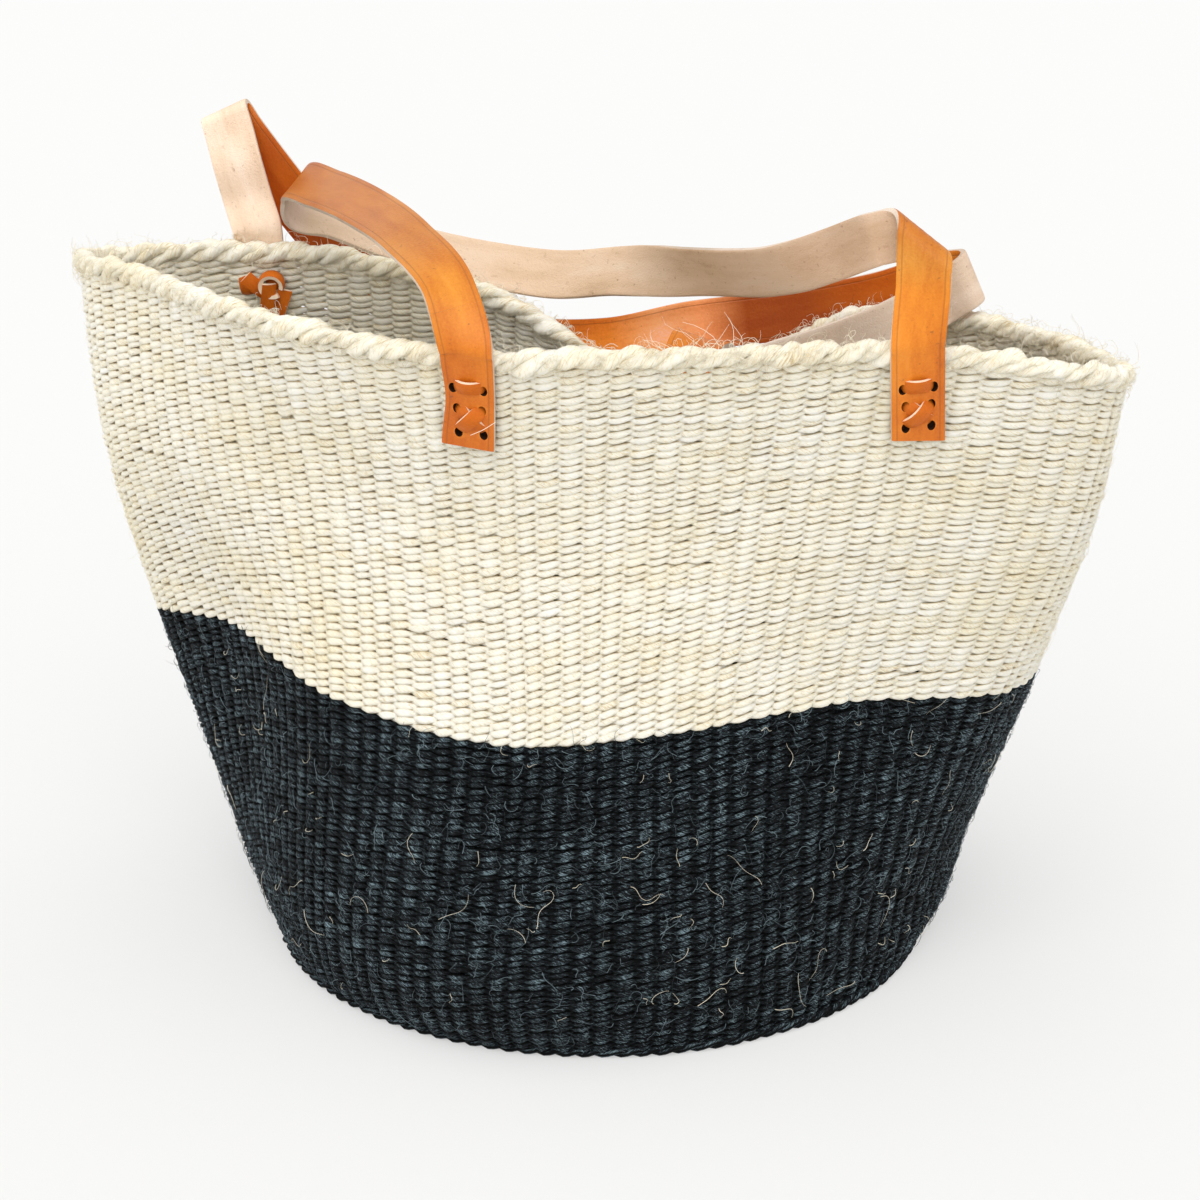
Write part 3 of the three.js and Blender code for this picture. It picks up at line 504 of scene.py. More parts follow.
def roped_rim(name, seed):
    """Three strands, each a third of a turn on: up = rise sin g and out = reach cos g round the rim's middle.
    The ridges are set by the place round the strand and turn back once per three turns of the rope."""
    draw = np.random.default_rng(seed)
    along = np.arange(RIM_TURNS * RIM_PARTS) / (RIM_TURNS * RIM_PARTS)
    g = 2 * np.pi * (RIM_TURNS * along + np.arange(3)[:, None] / 3)
    turn = np.broadcast_to(along, g.shape)

    def lump(spread, places):
        drawn = draw.normal(0, spread, (3, places))
        return np.stack([np.interp(along * places, np.arange(places + 1), np.append(v, v[0])) for v in drawn])

    point, out, up = wall_frame(turn, at_turn(warp_length, turn) - RIM_HEIGHT / 2)
    rise = RIM_RISE * np.sin(g) + lump(*RISE_LUMPS) - RIM_SAG
    depth = -WALL / 2 + RIM_REACH * np.cos(g) + lump(*REACH_LUMPS)
    centre = point + rise[..., None] * up + depth[..., None] * out
    thick = RIM_HALF_THICKNESS * (1 + lump(*SIZE_LUMPS))
    way = unit(np.roll(centre, -1, 1) - np.roll(centre, 1, 1))
    across = unit(np.cross(way, out))
    off = unit(np.cross(across, way))
    tone = np.clip(RIM_TONE + lump(*TONE_LUMPS), 0, 1)
    place_round = np.arange(RIM_SIDES) / RIM_SIDES + along[:, None] * RIM_TURNS / 3
    waves = (np.cos(2 * np.pi * (k * place_round + draw.uniform(0, 1, (3, 1, 1)))) for k in RIM_RIDGES)
    ridges = 1 + sum(RIM_RIDGE_SHARE * wave for wave in waves)
    length = along * 1.2 + np.arange(3)[:, None]
    return strand_mesh(name, centre, off, across, thick, thick * 1.05, tone, length, cream_sisal,
                       sides=RIM_SIDES, ridges=ridges)


rim = roped_rim("roped_rim", 401)
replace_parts(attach(rim, "basket"), "rim_braid")

# The leather straps
# Two bands of vegetable-tanned leather, 23 mm wide and 3 mm thick: an orange-brown grain side, a pale rough
# flesh side and raw cut edges, with a line creased along both edges of the grain. Each band lies the way that
# it was put down: the front one stands on edge across the mouth, the rear one hangs behind it.
STRAP_WIDTH = 0.023
STRAP_THICKNESS = 0.003
TAB_LENGTH = 0.045
FLEX_LENGTH = 0.024
CUT_GAP = 0.0006
# Where each tab lies: the turn round the basket, and how far it leans in quarter turns.
TAB_PLACES = {"front_left": (0.253, 0), "front_right": (0.4185, 0.12),
              "rear_left": (0.931, 0), "rear_right": (0.731, 0)}
# The way of each strap from tab to tab: the place of its middle line and the way to its upper edge.
FRONT_ROUTE = [
    ((-0.028, -0.286, 1.064), (0.5, 0.8, 0.3)), ((-0.091, -0.224, 1.09), (0.38, 0.88, 0.3)),
    ((-0.169, -0.136, 1.083), (0.25, 0.9, 0.37)), ((-0.246, -0.052, 1.063), (0.18, 0.89, 0.42)),
    ((-0.304, 0.012, 1.037), (0.18, 0.87, 0.47)), ((-0.31, 0.027, 0.998), (0.15, 0.86, 0.49)),
    ((-0.289, 0.05, 0.976), (-0.08, 0.87, 0.48)), ((-0.245, 0.066, 0.95), (-0.23, 0.78, 0.58)),
    ((-0.179, 0.076, 0.926), (-0.28, 0.72, 0.64)), ((-0.078, 0.074, 0.917), (-0.23, 0.6, 0.76)),
    ((0.004, 0.04, 0.949), (-0.24, 0.63, 0.73)), ((0.097, -0.028, 0.992), (0.08, -0.34, 0.94)),
    ((0.185, -0.088, 1.031), (0.05, -0.34, 0.94)), ((0.223, -0.108, 1.054), (-0.1, -0.13, 0.97)),
    ((0.261, -0.128, 1.084), (-0.29, 0.1, 0.95))]
REAR_LEG_ROUTE = [((-0.362, 0.028, 1.0), (0.92, 0.28, 0.28)), ((-0.371, 0.027, 1.05), (0.91, 0.29, 0.3))]
REAR_BAND_ROUTE = [
    ((-0.32, 0.074, 0.955), (0.85, 0.3, 0.45)), ((-0.288, 0.098, 0.878), (0.7, 0.2, 0.65)),
    ((-0.23, 0.106, 0.835), (0.3, 0.05, 0.95)), ((-0.12, 0.106, 0.8), (0, 0.12, 0.99)),
    ((-0.03, 0.096, 0.815), (-0.05, 0.14, 0.98)), ((0.06, 0.082, 0.861), (-0.1, 0.12, 0.98)),
    ((0.15, 0.094, 0.888), (-0.1, 0.2, 0.97)), ((0.236, 0.102, 0.925), (-0.12, 0, 0.99))]
RETURN_ROUTE = [
    ((0.262, 0.036, 0.914), (-0.45, -0.1, 0.88)), ((0.206, 0.018, 0.877), (-0.45, -0.15, 0.87)),
    ((0.16, 0, 0.852), (-0.55, -0.2, 0.8)), ((0.124, -0.03, 0.816), (-0.85, -0.35, 0.4)),
    ((0.102, -0.044, 0.826), (-0.95, -0.2, 0.05)), ((0.098, -0.038, 0.864), (-0.98, -0.05, 0.15)),
    ((0.096, -0.006, 0.886), (-0.95, 0, 0.3))]
# The folds: place, way, edge, lean of the fold's line in quarter turns, radius, and the side it turns to.
FRONT_FOLD = ((0.333, -0.152, 1.135), (0.942, 0.163, 0.276), (-0.27, -0.047, 0.961), 0.41, 0.0045, 1)
LEFT_CREASE = ((-0.386, 0.034, 1.112), (-0.34, 0.1, 0.935), (0.91, 0.285, 0.3), -0.09, 0.003, 1)
RIGHT_FOLD = ((0.316, 0.086, 0.976), (0.97, -0.1, 0.22), (-0.22, 0, 0.97), 0.139, 0.005, 1)
# Places across a strap, closer together at its edges, and how thick the leather is there.
ACROSS = np.array([0, 0.015, 0.05, 0.11, 0.2, 0.35, 0.5, 0.65, 0.8, 0.89, 0.95, 0.985, 1])
EDGE_THINNING = np.array([0.7, 0.88, 0.97, 1, 1, 1, 1, 1, 1, 1, 0.97, 0.88, 0.7])
MIDDLE = len(ACROSS) // 2
from_middle = ((ACROSS - 0.5) * STRAP_WIDTH)[:, None]
ROW_STEP = 0.0015
FOLD_STEP = 0.0008
FOOT_HEIGHT = 0.012
# How far to each side of a tab, in turns, the two points lie that give the way along the wall.
TURN_STEP = 1 / 288


def square_to(edge, way):
    """The part of the edge that is square to the way, as a unit: edge - (edge . way) way."""
    return unit(edge - (edge * way).sum(-1, keepdims=True) * way)


def wall_axes(turn, climb):
    """The ways along, up and out of the wall at one place, from differences on the wall's table."""
    at = lambda t, c: on_wall(np.array([t]), np.array([c]))[0]
    low = min(climb, at_turn(warp_length, turn) - WALL / 2)
    up = unit(at(turn, low + WALL / 2) - at(turn, low - WALL / 2))
    out = unit(np.cross(unit(at(turn + TURN_STEP, climb) - at(turn - TURN_STEP, climb)), up))
    return np.cross(up, out), up, out


def tab_frame(turn, lean_share):
    """A tab's middle and its ways along, up and out. It lies flat over the rim and the wall, one clearance
    off the highest place."""
    length = at_turn(warp_length, turn)
    side, up, out = wall_axes(turn, length - TAB_LENGTH / 2)
    lean = lean_share * np.pi / 2
    side, up = (v * math.cos(lean) + np.cross(out, v) * math.sin(lean) for v in (side, up))
    centre = on_wall(np.array([turn]), np.array([length - TAB_LENGTH / 2]))[0]
    girth = 2 * MOUTH_LENGTH
    half_turn = STRAP_WIDTH / 2 / girth
    t, c = np.meshgrid(turn + np.array([-1, 0, 1]) * half_turn, length - TAB_LENGTH * np.arange(9) / 8)
    point, way, _ = wall_frame(t, c)
    bulge = np.where(c > length - RIM_HEIGHT, RIM_BULGE, 0)[..., None]
    reach = max(0, ((point + bulge * way - centre) @ out).max()) + CUT_GAP
    origin = centre + out * (reach + STRAP_THICKNESS / 2)
    top = origin + up * TAB_LENGTH / 2
    return {"origin": origin, "side": side, "up": up, "out": out, "top": top, "reach": reach}


tabs = {name: tab_frame(*where) for name, where in TAB_PLACES.items()}


def straight_rows(start, end, edge):
    """Flat rows from start to end: point = middle + edge (share across - 1/2) width."""
    steps = max(2, int(round(np.linalg.norm(end - start) / ROW_STEP)))
    middle = start + (end - start) * np.linspace(0, 1, steps + 1)[:, None]
    return middle[:, None] + from_middle * edge


def rows_through(stops):
    """Rows at equal steps along the centripetal spline through the stops' middles. Each edge is the uniform
    spline of the stops' edges, squared to the way."""
    middles, edges = (np.array([stop[k] for stop in stops], float) for k in (0, 1))
    fine = np.linspace(0, len(stops) - 1, 200 * len(stops))
    run = run_along(spline_points(middles, fine))
    count = max(3, int(round(run[-1] / ROW_STEP)))
    at = np.interp(np.linspace(0, run[-1], count + 1), run, fine)
    centre = spline_points(middles, at)
    padded = np.concatenate([2 * edges[:1] - edges[1:2], edges, 2 * edges[-1:] - edges[-2:-1]])
    whole = np.clip(np.floor(at).astype(int), 0, len(stops) - 2)
    p0, p1, p2, p3 = (padded[whole + k] for k in range(4))
    edge = cubic(p1, p2, (p2 - p0) / 2, (p3 - p1) / 2, (at - whole)[:, None])
    edge = square_to(edge, unit(np.gradient(centre, axis=0)))
    return centre[:, None] + from_middle * edge[:, None]


def fold_rows(where, along, edge, lean_share, radius, turns_way):
    """A flat band wrapped half round a leaning line, with k its lean:
    past = length cos k + offset sin k, aside = offset cos k - length sin k, out = R (1 - cos(past / R)), and
    forward = past before the line, R sin(past / R) on it and -(past - pi R) after it."""
    along = unit(np.array(along, float))
    edge = square_to(np.array(edge, float), along)
    out = np.cross(along, edge) * turns_way
    k = lean_share * np.pi / 2
    line = edge * math.cos(k) - along * math.sin(k)
    ahead = along * math.cos(k) + edge * math.sin(k)
    reach = STRAP_WIDTH / 2 * abs(math.tan(k)) + STRAP_THICKNESS
    end = reach + np.pi * radius / math.cos(k)
    length = np.linspace(-reach, end, int(round((end + reach) / FOLD_STEP)))[:, None]
    offset = from_middle.T
    past = length * math.cos(k) + offset * math.sin(k)
    aside = offset * math.cos(k) - length * math.sin(k)
    turn = np.clip(past / radius, 0, np.pi)
    forward = np.where(past < 0, past, radius * np.sin(turn) - np.maximum(past - np.pi * radius, 0))
    lift = radius * (1 - np.cos(turn))
    return place(where) + aside[..., None] * line + forward[..., None] * ahead + lift[..., None] * out


def rows_between(before, route, after, lead=0.003):
    """Rows from one stretch to the next through the route, led straight on a little at both ends."""
    stop_of = lambda row: (row[MIDDLE], unit(row[-1] - row[0]))
    way_of = lambda rows: unit(rows[1][MIDDLE] - rows[0][MIDDLE])
    first, last = stop_of(before[-1]), stop_of(after[0])
    stops = [first, (first[0] + way_of(before[-2:]) * lead, first[1])]
    stops += [(place(p), np.array(e, float)) for p, e in route]
    stops += [(last[0] - way_of(after) * lead, last[1]), last]
    return rows_through(stops)


def tab_rows(tab, from_foot, edge_way, longer=(0, 0), aside=0, waist=0):
    """The rows of a tab from its foot to its top, or the other way. The foot was cut by eye: its left and
    right corners reach longer by 1 - up / 12 mm, the foot lies aside by (1 - up / length) squared, and the
    left edge is drawn in by the waist, most at half the height."""
    foot, top = tab["top"] - tab["up"] * TAB_LENGTH, tab["top"]
    rows = straight_rows(*((foot, top) if from_foot else (top, foot)), tab["side"] * edge_way)
    up = (rows - foot) @ tab["up"]
    share = (rows - foot) @ tab["side"] / STRAP_WIDTH + 0.5
    more = (longer[0] * (1 - share) + longer[1] * share) * np.maximum(0, 1 - up / FOOT_HEIGHT)
    drawn_in = waist * (1 - share) * np.sin(np.pi * np.clip(up / TAB_LENGTH, 0, 1)) ** 2
    shift = aside * (1 - up / TAB_LENGTH) ** 2 + drawn_in
    return rows - more[..., None] * tab["up"] + shift[..., None] * tab["side"]


def joined(*stretches):
    """Stretches one after the other, without the row that each shares with the one before."""
    return np.concatenate([stretches[0]] + [s[1:] for s in stretches[1:]])


def length_of(*stretches):
    """The length of stretches one after the other."""
    return run_along(joined(*stretches)[:, MIDDLE])[-1]


def row_at(rows, length):
    """The row at a length along the strap, worked out between its two neighbours."""
    run = run_along(rows[:, MIDDLE])
    low = min(max(np.searchsorted(run, length) - 1, 0), len(run) - 2)
    share = (length - run[low]) / (run[low + 1] - run[low])
    return rows[low] * (1 - share) + rows[low + 1] * share


def cut_rows(rows, start, end):
    """The rows between two lengths along the strap, with a new row worked out at each end."""
    run = run_along(rows[:, MIDDLE])
    inside = (run > start + CUT_GAP / 2) & (run < end - CUT_GAP / 2)
    return np.concatenate([row_at(rows, start)[None], rows[inside], row_at(rows, end)[None]])


CREASE_FROM_EDGE = 0.0023
FRECKLE_BROWN = (0.16, 0.06, 0.02, 1)
MARK_BROWN = (0.2, 0.07, 0.02, 1)


def leather(name, shades, rough, shine, grain_scale, bump_strength, freckle, crease=0.0, clouds=(0.1, 0.6),
            scratched=(70.0, 900.0, 0.13), tinted=True):
    """Leather: soft cloudy shades, times the band's own Tint if tinted, fine grain as bump, freckles and short
    scratches. On the straps the Tint is mostly painted sheen and painted shade along the band. The strap's own map runs
    along it (U) and across it (V) in metres. A line is creased inside both edges, its darkness and depth set by the
    crease."""
    made, shader, add, links = material(name, rough, shine)
    strap = add("UVMap", uv_map="Strand").outputs["UV"]
    body = add("TexCoord").outputs["Object"]
    long_map = add("Mapping", {0: strap, "Scale": (14.0, 60.0, 1.0)}).outputs[0]
    cloud = between(add, noise(add, long_map, 1.0, 5.0, 0.62), 0.3, 0.7, *clouds)
    grain = noise(add, body, grain_scale, 4.0, 0.6)
    colour = ramp(add, calculated(add, "MULTIPLY_ADD", grain, 0.35, cloud), shades)
    if tinted:
        colour = mixed(add, 1.0, colour, add("Attribute", attribute_name="Tint").outputs["Color"], "MULTIPLY")
    spot = between(add, noise(add, body, 420.0, 2.0, 0.5), 0.68, 0.78, 0.0, freckle)
    spotted = mixed(add, spot, colour, FRECKLE_BROWN)
    scratch_map = add("Mapping", {0: strap, "Rotation": (0.0, 0.0, 0.5), "Scale": (*scratched[:2], 1.0)})
    scratch = between(add, noise(add, scratch_map.outputs[0], 1.0, 3.0, 0.6), 0.62, 0.7, 0.0, scratched[2])
    half = STRAP_WIDTH / 2
    across = add("SeparateXYZ", {0: strap}).outputs["Y"]
    from_centre = calculated(add, "ABSOLUTE", calculated(add, "SUBTRACT", across, half))
    off_line = calculated(add, "ABSOLUTE", calculated(add, "SUBTRACT", from_centre, half - CREASE_FROM_EDGE))
    line = between(add, off_line, 0.00045, 0.0001)
    marks = calculated(add, "MULTIPLY_ADD", line, 0.5 * crease, scratch, use_clamp=True)
    links.new(mixed(add, marks, spotted, MARK_BROWN), shader.inputs["Base Color"])
    height = calculated(add, "MULTIPLY_ADD", line, -1.2 * crease, grain)
    bump = add("Bump", {"Height": height, "Strength": bump_strength, "Distance": 0.0004})
    links.new(bump.outputs[0], shader.inputs["Normal"])
    return made


grain_side = leather(
    "leather_grain", [(0.15, (0.42, 0.08, 0.005)), (0.4, (0.62, 0.16, 0.01)), (0.65, (0.75, 0.235, 0.02)),
                      (0.95, (0.8, 0.31, 0.06))],
    rough=0.4, shine=0.28, grain_scale=900.0, bump_strength=0.45, freckle=0.6, crease=0.7)
flesh_side = leather(
    "leather_flesh", [(0.1, (0.62, 0.43, 0.28)), (0.35, (0.82, 0.61, 0.43)), (0.6, (0.92, 0.71, 0.53)),
                      (0.9, (0.97, 0.81, 0.65))],
    rough=0.95, shine=0.1, grain_scale=1300.0, bump_strength=1.0, freckle=0.45, clouds=(0, 0.7),
    scratched=(190.0, 380.0, 0.2))
raw_edge = leather(
    "leather_edge", [(0.2, (0.42, 0.32, 0.24)), (0.5, (0.62, 0.5, 0.4)), (0.8, (0.75, 0.64, 0.54)),
                     (1.0, (0.8, 0.7, 0.6))],
    rough=0.9, shine=0.2, grain_scale=1500.0, bump_strength=0.8, freckle=0.2, tinted=False)
flesh_over = (flesh_side, grain_side, raw_edge)
grain_over = (grain_side, flesh_side, raw_edge)
# The flesh side's tint keeps green and blue under these shares of its red. The last value frees its alpha.
FLESH_TINT_LIMIT = (1, 1.02, 1.08, 9)
SHARP_ANGLE = math.radians(38)


def band_mesh(name, rows, finishes, thickness, thinning, run, width, tint=1.0):
    """A band between two faces: face = middle surface +- thickness / 2 along n = (way x edge), thinner at its
    edges. finishes are the materials of the side that n points to, of the other side and of the cut edges."""
    count, across = rows.shape[:2]
    n = unit(np.cross(np.gradient(rows, axis=0), np.gradient(rows, axis=1)))
    half = (thickness / 2 * thinning)[None, :, None]
    points = np.concatenate([(rows + n * half).reshape(-1, 3), (rows - n * half).reshape(-1, 3)])
    over = np.arange(count * across).reshape(count, across)
    under = over + count * across
    quads = lambda *corners: np.stack(corners, -1).reshape(-1, 4)
    sides = [quads(over[:-1, :-1], over[1:, :-1], over[1:, 1:], over[:-1, 1:]),
             quads(under[:-1, 1:], under[1:, 1:], under[1:, :-1], under[:-1, :-1])]
    edges = [quads(under[:-1, 0], under[1:, 0], over[1:, 0], over[:-1, 0]),
             quads(over[:-1, -1], over[1:, -1], under[1:, -1], under[:-1, -1]),
             quads(over[0, :-1], over[0, 1:], under[0, 1:], under[0, :-1]),
             quads(over[-1, 1:], over[-1, :-1], under[-1, :-1], under[-1, 1:])]
    faces = np.concatenate(sides + edges)
    kinds = np.repeat([0, 1, 2], [len(sides[0]), len(sides[1]), len(faces) - 2 * len(sides[0])])
    mesh = bpy.data.meshes.new(name)
    mesh.from_pydata(points, [], faces.tolist())
    uv = np.stack(np.broadcast_arrays(run[:, None], width), -1).reshape(-1, 2)
    uv = np.tile(uv, (2, 1))[faces.reshape(-1)]
    mesh.uv_layers.new(name="Strand").data.foreach_set("uv", uv.reshape(-1).astype(np.float32))
    shade = np.ones((2, count, across, 4))
    shade[..., :3] = np.broadcast_to(tint, (count, 3))[None, :, None]
    pale = finishes.index(flesh_side)
    shade[pale] = np.minimum(shade[pale], shade[pale][..., :1] * FLESH_TINT_LIMIT)
    colours = mesh.attributes.new("Tint", "FLOAT_COLOR", "POINT").data
    colours.foreach_set("color", shade.reshape(-1).astype(np.float32))
    for finish in finishes:
        mesh.materials.append(finish)
    mesh.polygons.foreach_set("material_index", kinds.astype(np.int32))
    mesh.polygons.foreach_set("use_smooth", np.ones(len(faces), bool))
    mesh.set_sharp_from_angle(angle=SHARP_ANGLE)
    mesh.update()
    return linked(name, mesh)


def strap_bands(rows, finishes, tint_and_light_stops, stretches):
    """The pieces of a strap, each between two lengths along it, tinted by stops along it that are mostly painted sheen
    and painted shade.
    """
    places, tints = [stop[0] for stop in tint_and_light_stops], np.array([stop[1] for stop in tint_and_light_stops])
    bands = []
    width = ACROSS * STRAP_WIDTH
    for name, start, end in stretches:
        part = cut_rows(rows, start, end)
        run = start + run_along(part[:, MIDDLE])
        tint = np.stack([np.interp(run, places, tints[:, k]) for k in range(3)], -1)
        bands.append(band_mesh(name, part, finishes, STRAP_THICKNESS, EDGE_THINNING, run, width, tint))
    return bands


# The front strap, from its left tab to its right tab. Its way crossed with its edge gives the flesh side.
front_left_tab = tab_rows(tabs["front_left"], True, 1, longer=(0.002, 0.0034), aside=-0.0021, waist=0.0016)
front_right_tab = tab_rows(tabs["front_right"], False, -1, longer=(-0.0022, 0.0006))
front_fold = fold_rows(*FRONT_FOLD)
front_way = rows_between(front_left_tab, FRONT_ROUTE, front_fold)
front_leg = rows_between(front_fold, [], front_right_tab)
front_strap = joined(front_left_tab, front_way, front_fold, front_leg, front_right_tab)
front_length = length_of(front_strap)
front_fold_start = length_of(front_left_tab, front_way)
front_fold_end = length_of(front_left_tab, front_way, front_fold)
end_of_flex = TAB_LENGTH + FLEX_LENGTH
# The tint along the strap, darker toward both tabs, is mostly painted light: a darker, pinkish painted sheen over the
# top of the arch, painted shade on the flesh side where the strap lies in the mouth, and a paler painted sheen on the
# leg just below the front fold.
FRONT_TINT_AND_PAINTED_LIGHT = [
    (0, (0.84, 0.68, 0.55)), (0.045, (0.88, 0.8, 0.7)), (0.075, (0.9, 1.03, 1)), (0.12, (0.74, 0.88, 1.5)),
    (0.19, (0.72, 0.8, 1.35)), (0.235, (0.66, 0.71, 1.3)), (0.285, (0.66, 0.66, 0.9)),
    (0.31, (0.78, 0.77, 0.76)), (0.46, (0.8, 0.76, 0.71)), (0.62, (0.66, 0.58, 0.52)),
    (front_fold_start + 0.012, (0.64, 0.56, 0.5)),
    (front_fold_end - 0.008, (0.9, 1.18, 1.9)), (front_length - 0.07, (1, 1.08, 0.95)),
    (front_length - 0.04, (0.95, 0.93, 0.85)), (front_length, (0.88, 0.78, 0.65))]
front_left_end, front_loop, front_right_end = strap_bands(front_strap, flesh_over, FRONT_TINT_AND_PAINTED_LIGHT, [
    ("front_strap_left_end", 0, end_of_flex),
    ("front_strap_loop_leather", end_of_flex, front_length - end_of_flex),
    ("front_strap_right_end", front_length - end_of_flex, front_length)])

# The rear strap, from its left tab to its right tab. Its way crossed with its edge gives the grain side.
rear_left_tab = tab_rows(tabs["rear_left"], True, -1)
rear_right_tab = tab_rows(tabs["rear_right"], False, 1)
left_crease = fold_rows(*LEFT_CREASE)
right_fold = fold_rows(*RIGHT_FOLD)
rear_leg = rows_between(rear_left_tab, REAR_LEG_ROUTE, left_crease)
rear_band = rows_between(left_crease, REAR_BAND_ROUTE, right_fold)
rear_return = rows_between(right_fold, RETURN_ROUTE, rear_right_tab, STRAP_WIDTH / 3)
rear_strap = joined(rear_left_tab, rear_leg, left_crease, rear_band, right_fold, rear_return, rear_right_tab)
rear_length = length_of(rear_strap)
fold_start = length_of(rear_left_tab, rear_leg, left_crease, rear_band)
fold_end = length_of(rear_left_tab, rear_leg, left_crease, rear_band, right_fold)
# The swinging band ends a little before the fold, where the strap starts to bend over the rim.
rear_loop_end = fold_start - 0.28 * STRAP_WIDTH
# The tint along the rear strap is mostly painted light: a strong pinkish painted sheen on the middle of the band, then
# the painted shadow of the front strap's middle run just to its right, and darker stretches on the first part of the
# band and along the return.
REAR_TINT_AND_PAINTED_LIGHT = [
    (0, (1, 1, 1)), (0.045, (0.96, 0.97, 1)), (0.105, (0.96, 0.97, 1)), (0.125, (0.66, 0.47, 0.32)),
    (0.18, (0.64, 0.45, 0.3)), (0.3, (1.1, 1.1, 1)), (0.345, (1.3, 1.4, 2)), (0.375, (1.5, 2.3, 12)),
    (0.395, (1.4, 1.9, 9)), (0.417, (0.5, 0.33, 0.25)), (0.445, (0.46, 0.28, 0.2)), (0.49, (0.8, 0.58, 0.45)),
    (fold_start, (0.83, 0.92, 1)), (fold_end, (0.8, 0.9, 1)), (fold_end + 0.05, (0.7, 0.74, 0.8)),
    (rear_length, (1, 1, 1))]
rear_left_end, rear_loop, rear_turn, rear_right_end = strap_bands(rear_strap, grain_over, REAR_TINT_AND_PAINTED_LIGHT, [
    ("rear_strap_left_end", 0, end_of_flex), ("rear_strap_band", end_of_flex, rear_loop_end),
    ("rear_strap_turn", rear_loop_end, fold_end), ("rear_strap_right_end", fold_end, rear_length)])

# Each tab is punched with six oval holes for its lace: two for the bar stitch and four for the cross.
# A hole's place is its share of the width to the side of the middle and one of the tab's three levels up.
HOLES = {"bar_left": (-0.29, 0), "bar_right": (0.29, 0), "upper_left": (-0.24, 1), "upper_right": (0.24, 1),
         "lower_left": (-0.24, 2), "lower_right": (0.24, 2)}
HOLE_LEVELS = {"front_left": (0.0061, -0.0046, -0.0174), "front_right": (0.0051, -0.0036, -0.0144),
               "rear_left": (0.0056, -0.0041, -0.016), "rear_right": (0.0056, -0.0041, -0.016)}
HOLE_HALF_WIDTH = 0.0018
HOLE_HALF_HEIGHT = 0.0026
HOLE_SIDES = 14
PUNCH_REACH = 0.0026
# The dark oval of painted shade that lies under each hole, for the hole's depth: how much wider it is, and how far
# under the tab it starts and ends.
SHADE_SIZE = 1.25
SHADE_BELOW = (0.0005, 0.0001)
for name, tab in tabs.items():
    tab["levels"] = HOLE_LEVELS[name]
# Painted shade in the holes: a near-black brown for the ovals under them and, through the punch, for their cut walls.
hole_shade, hole_shader, _, _ = material("hole_shade", 0.9, 0.1)
hole_shader.inputs["Base Color"].default_value = (0.035, 0.015, 0.008, 1)


def in_tab(tab, side, up, out):
    """A place in a tab's own frame: origin + side + up + out."""
    return tab["origin"] + sum(np.asarray(value)[..., None] * tab[way]
                               for way, value in (("side", side), ("up", up), ("out", out)))


def hole_at(tab, name):
    """A hole's place to the side of the tab's middle and up from it."""
    side, level = HOLES[name]
    return side * STRAP_WIDTH, tab["levels"][level]


def oval_prisms(name, tab, size, low, high):
    """An oval prism for each hole, from low to high over the tab's middle: side = a cos t, up = b sin t, with
    a and b the hole's half width and half height times the size."""
    k = np.arange(HOLE_SIDES)
    next_k = (k + 1) % HOLE_SIDES
    t = 2 * np.pi * k / HOLE_SIDES
    round_side, round_up = size * HOLE_HALF_WIDTH * np.cos(t), size * HOLE_HALF_HEIGHT * np.sin(t)
    points, faces = [], []
    for number, hole in enumerate(HOLES):
        side, up = hole_at(tab, hole)
        for out in (low, high):
            points.append(in_tab(tab, side + round_side, up + round_up, np.full(HOLE_SIDES, out)))
        base = 2 * HOLE_SIDES * number
        top = base + HOLE_SIDES
        faces += np.stack([base + k, base + next_k, top + next_k, top + k], -1).tolist()
        faces += [(base + k[::-1]).tolist(), (top + k).tolist()]
    mesh = bpy.data.meshes.new(name)
    mesh.from_pydata(np.concatenate(points), [], faces)
    mesh.materials.append(hole_shade)
    return linked(name, mesh)


def punch(piece, tab):
    """Cuts a tab's holes, with their cut walls in the dark hole colour, and leaves a dark oval under each: painted
    shade.
    """
    cutter = oval_prisms("punch", tab, 1, -PUNCH_REACH, PUNCH_REACH)
    cut = piece.modifiers.new("punch", "BOOLEAN")
    cut.operation, cut.object, cut.solver, cut.material_mode = "DIFFERENCE", cutter, "EXACT", "TRANSFER"
    bpy.context.view_layer.update()
    done = bpy.data.meshes.new_from_object(piece.evaluated_get(bpy.context.evaluated_depsgraph_get()))
    piece.modifiers.clear()
    piece.data = done
    bpy.data.objects.remove(cutter)
    done.set_sharp_from_angle(angle=SHARP_ANGLE)
    low, high = (-STRAP_THICKNESS / 2 - below for below in SHADE_BELOW)
    shade = oval_prisms(f"{piece.name}_hole_shadows", tab, SHADE_SIZE, low, high)
    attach(shade, "basket")


for piece, tab in ((front_left_end, "front_left"), (front_right_end, "front_right"),
                   (rear_left_end, "rear_left"), (rear_right_end, "rear_right")):
    punch(piece, tabs[tab])


def flex_blend(piece):
    """Bakes a strap end's place into its points. Its bend from the tab's top to the flex's far end is already in its
    rows.
    """
    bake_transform(piece)


flex_blend(front_left_end)
flex_blend(front_right_end)
flex_blend(rear_left_end)
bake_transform(rear_turn)
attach(front_loop, "front_handle")
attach(rear_loop, "rear_handle")
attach(rear_right_end, "basket")
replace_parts(front_left_end, "front_left_strap_tab", "front_left_strap_flex")
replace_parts(front_right_end, "front_right_strap_tab", "front_right_strap_flex")
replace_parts(rear_left_end, "rear_left_strap_tab", "rear_left_strap_flex")
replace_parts(rear_turn, "rear_right_strap_flex")
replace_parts(rear_right_end, "rear_right_strap_tab", "rear_strap_return")
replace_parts(front_loop, "front_strap_loop")
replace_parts(rear_loop, "rear_strap_loop")

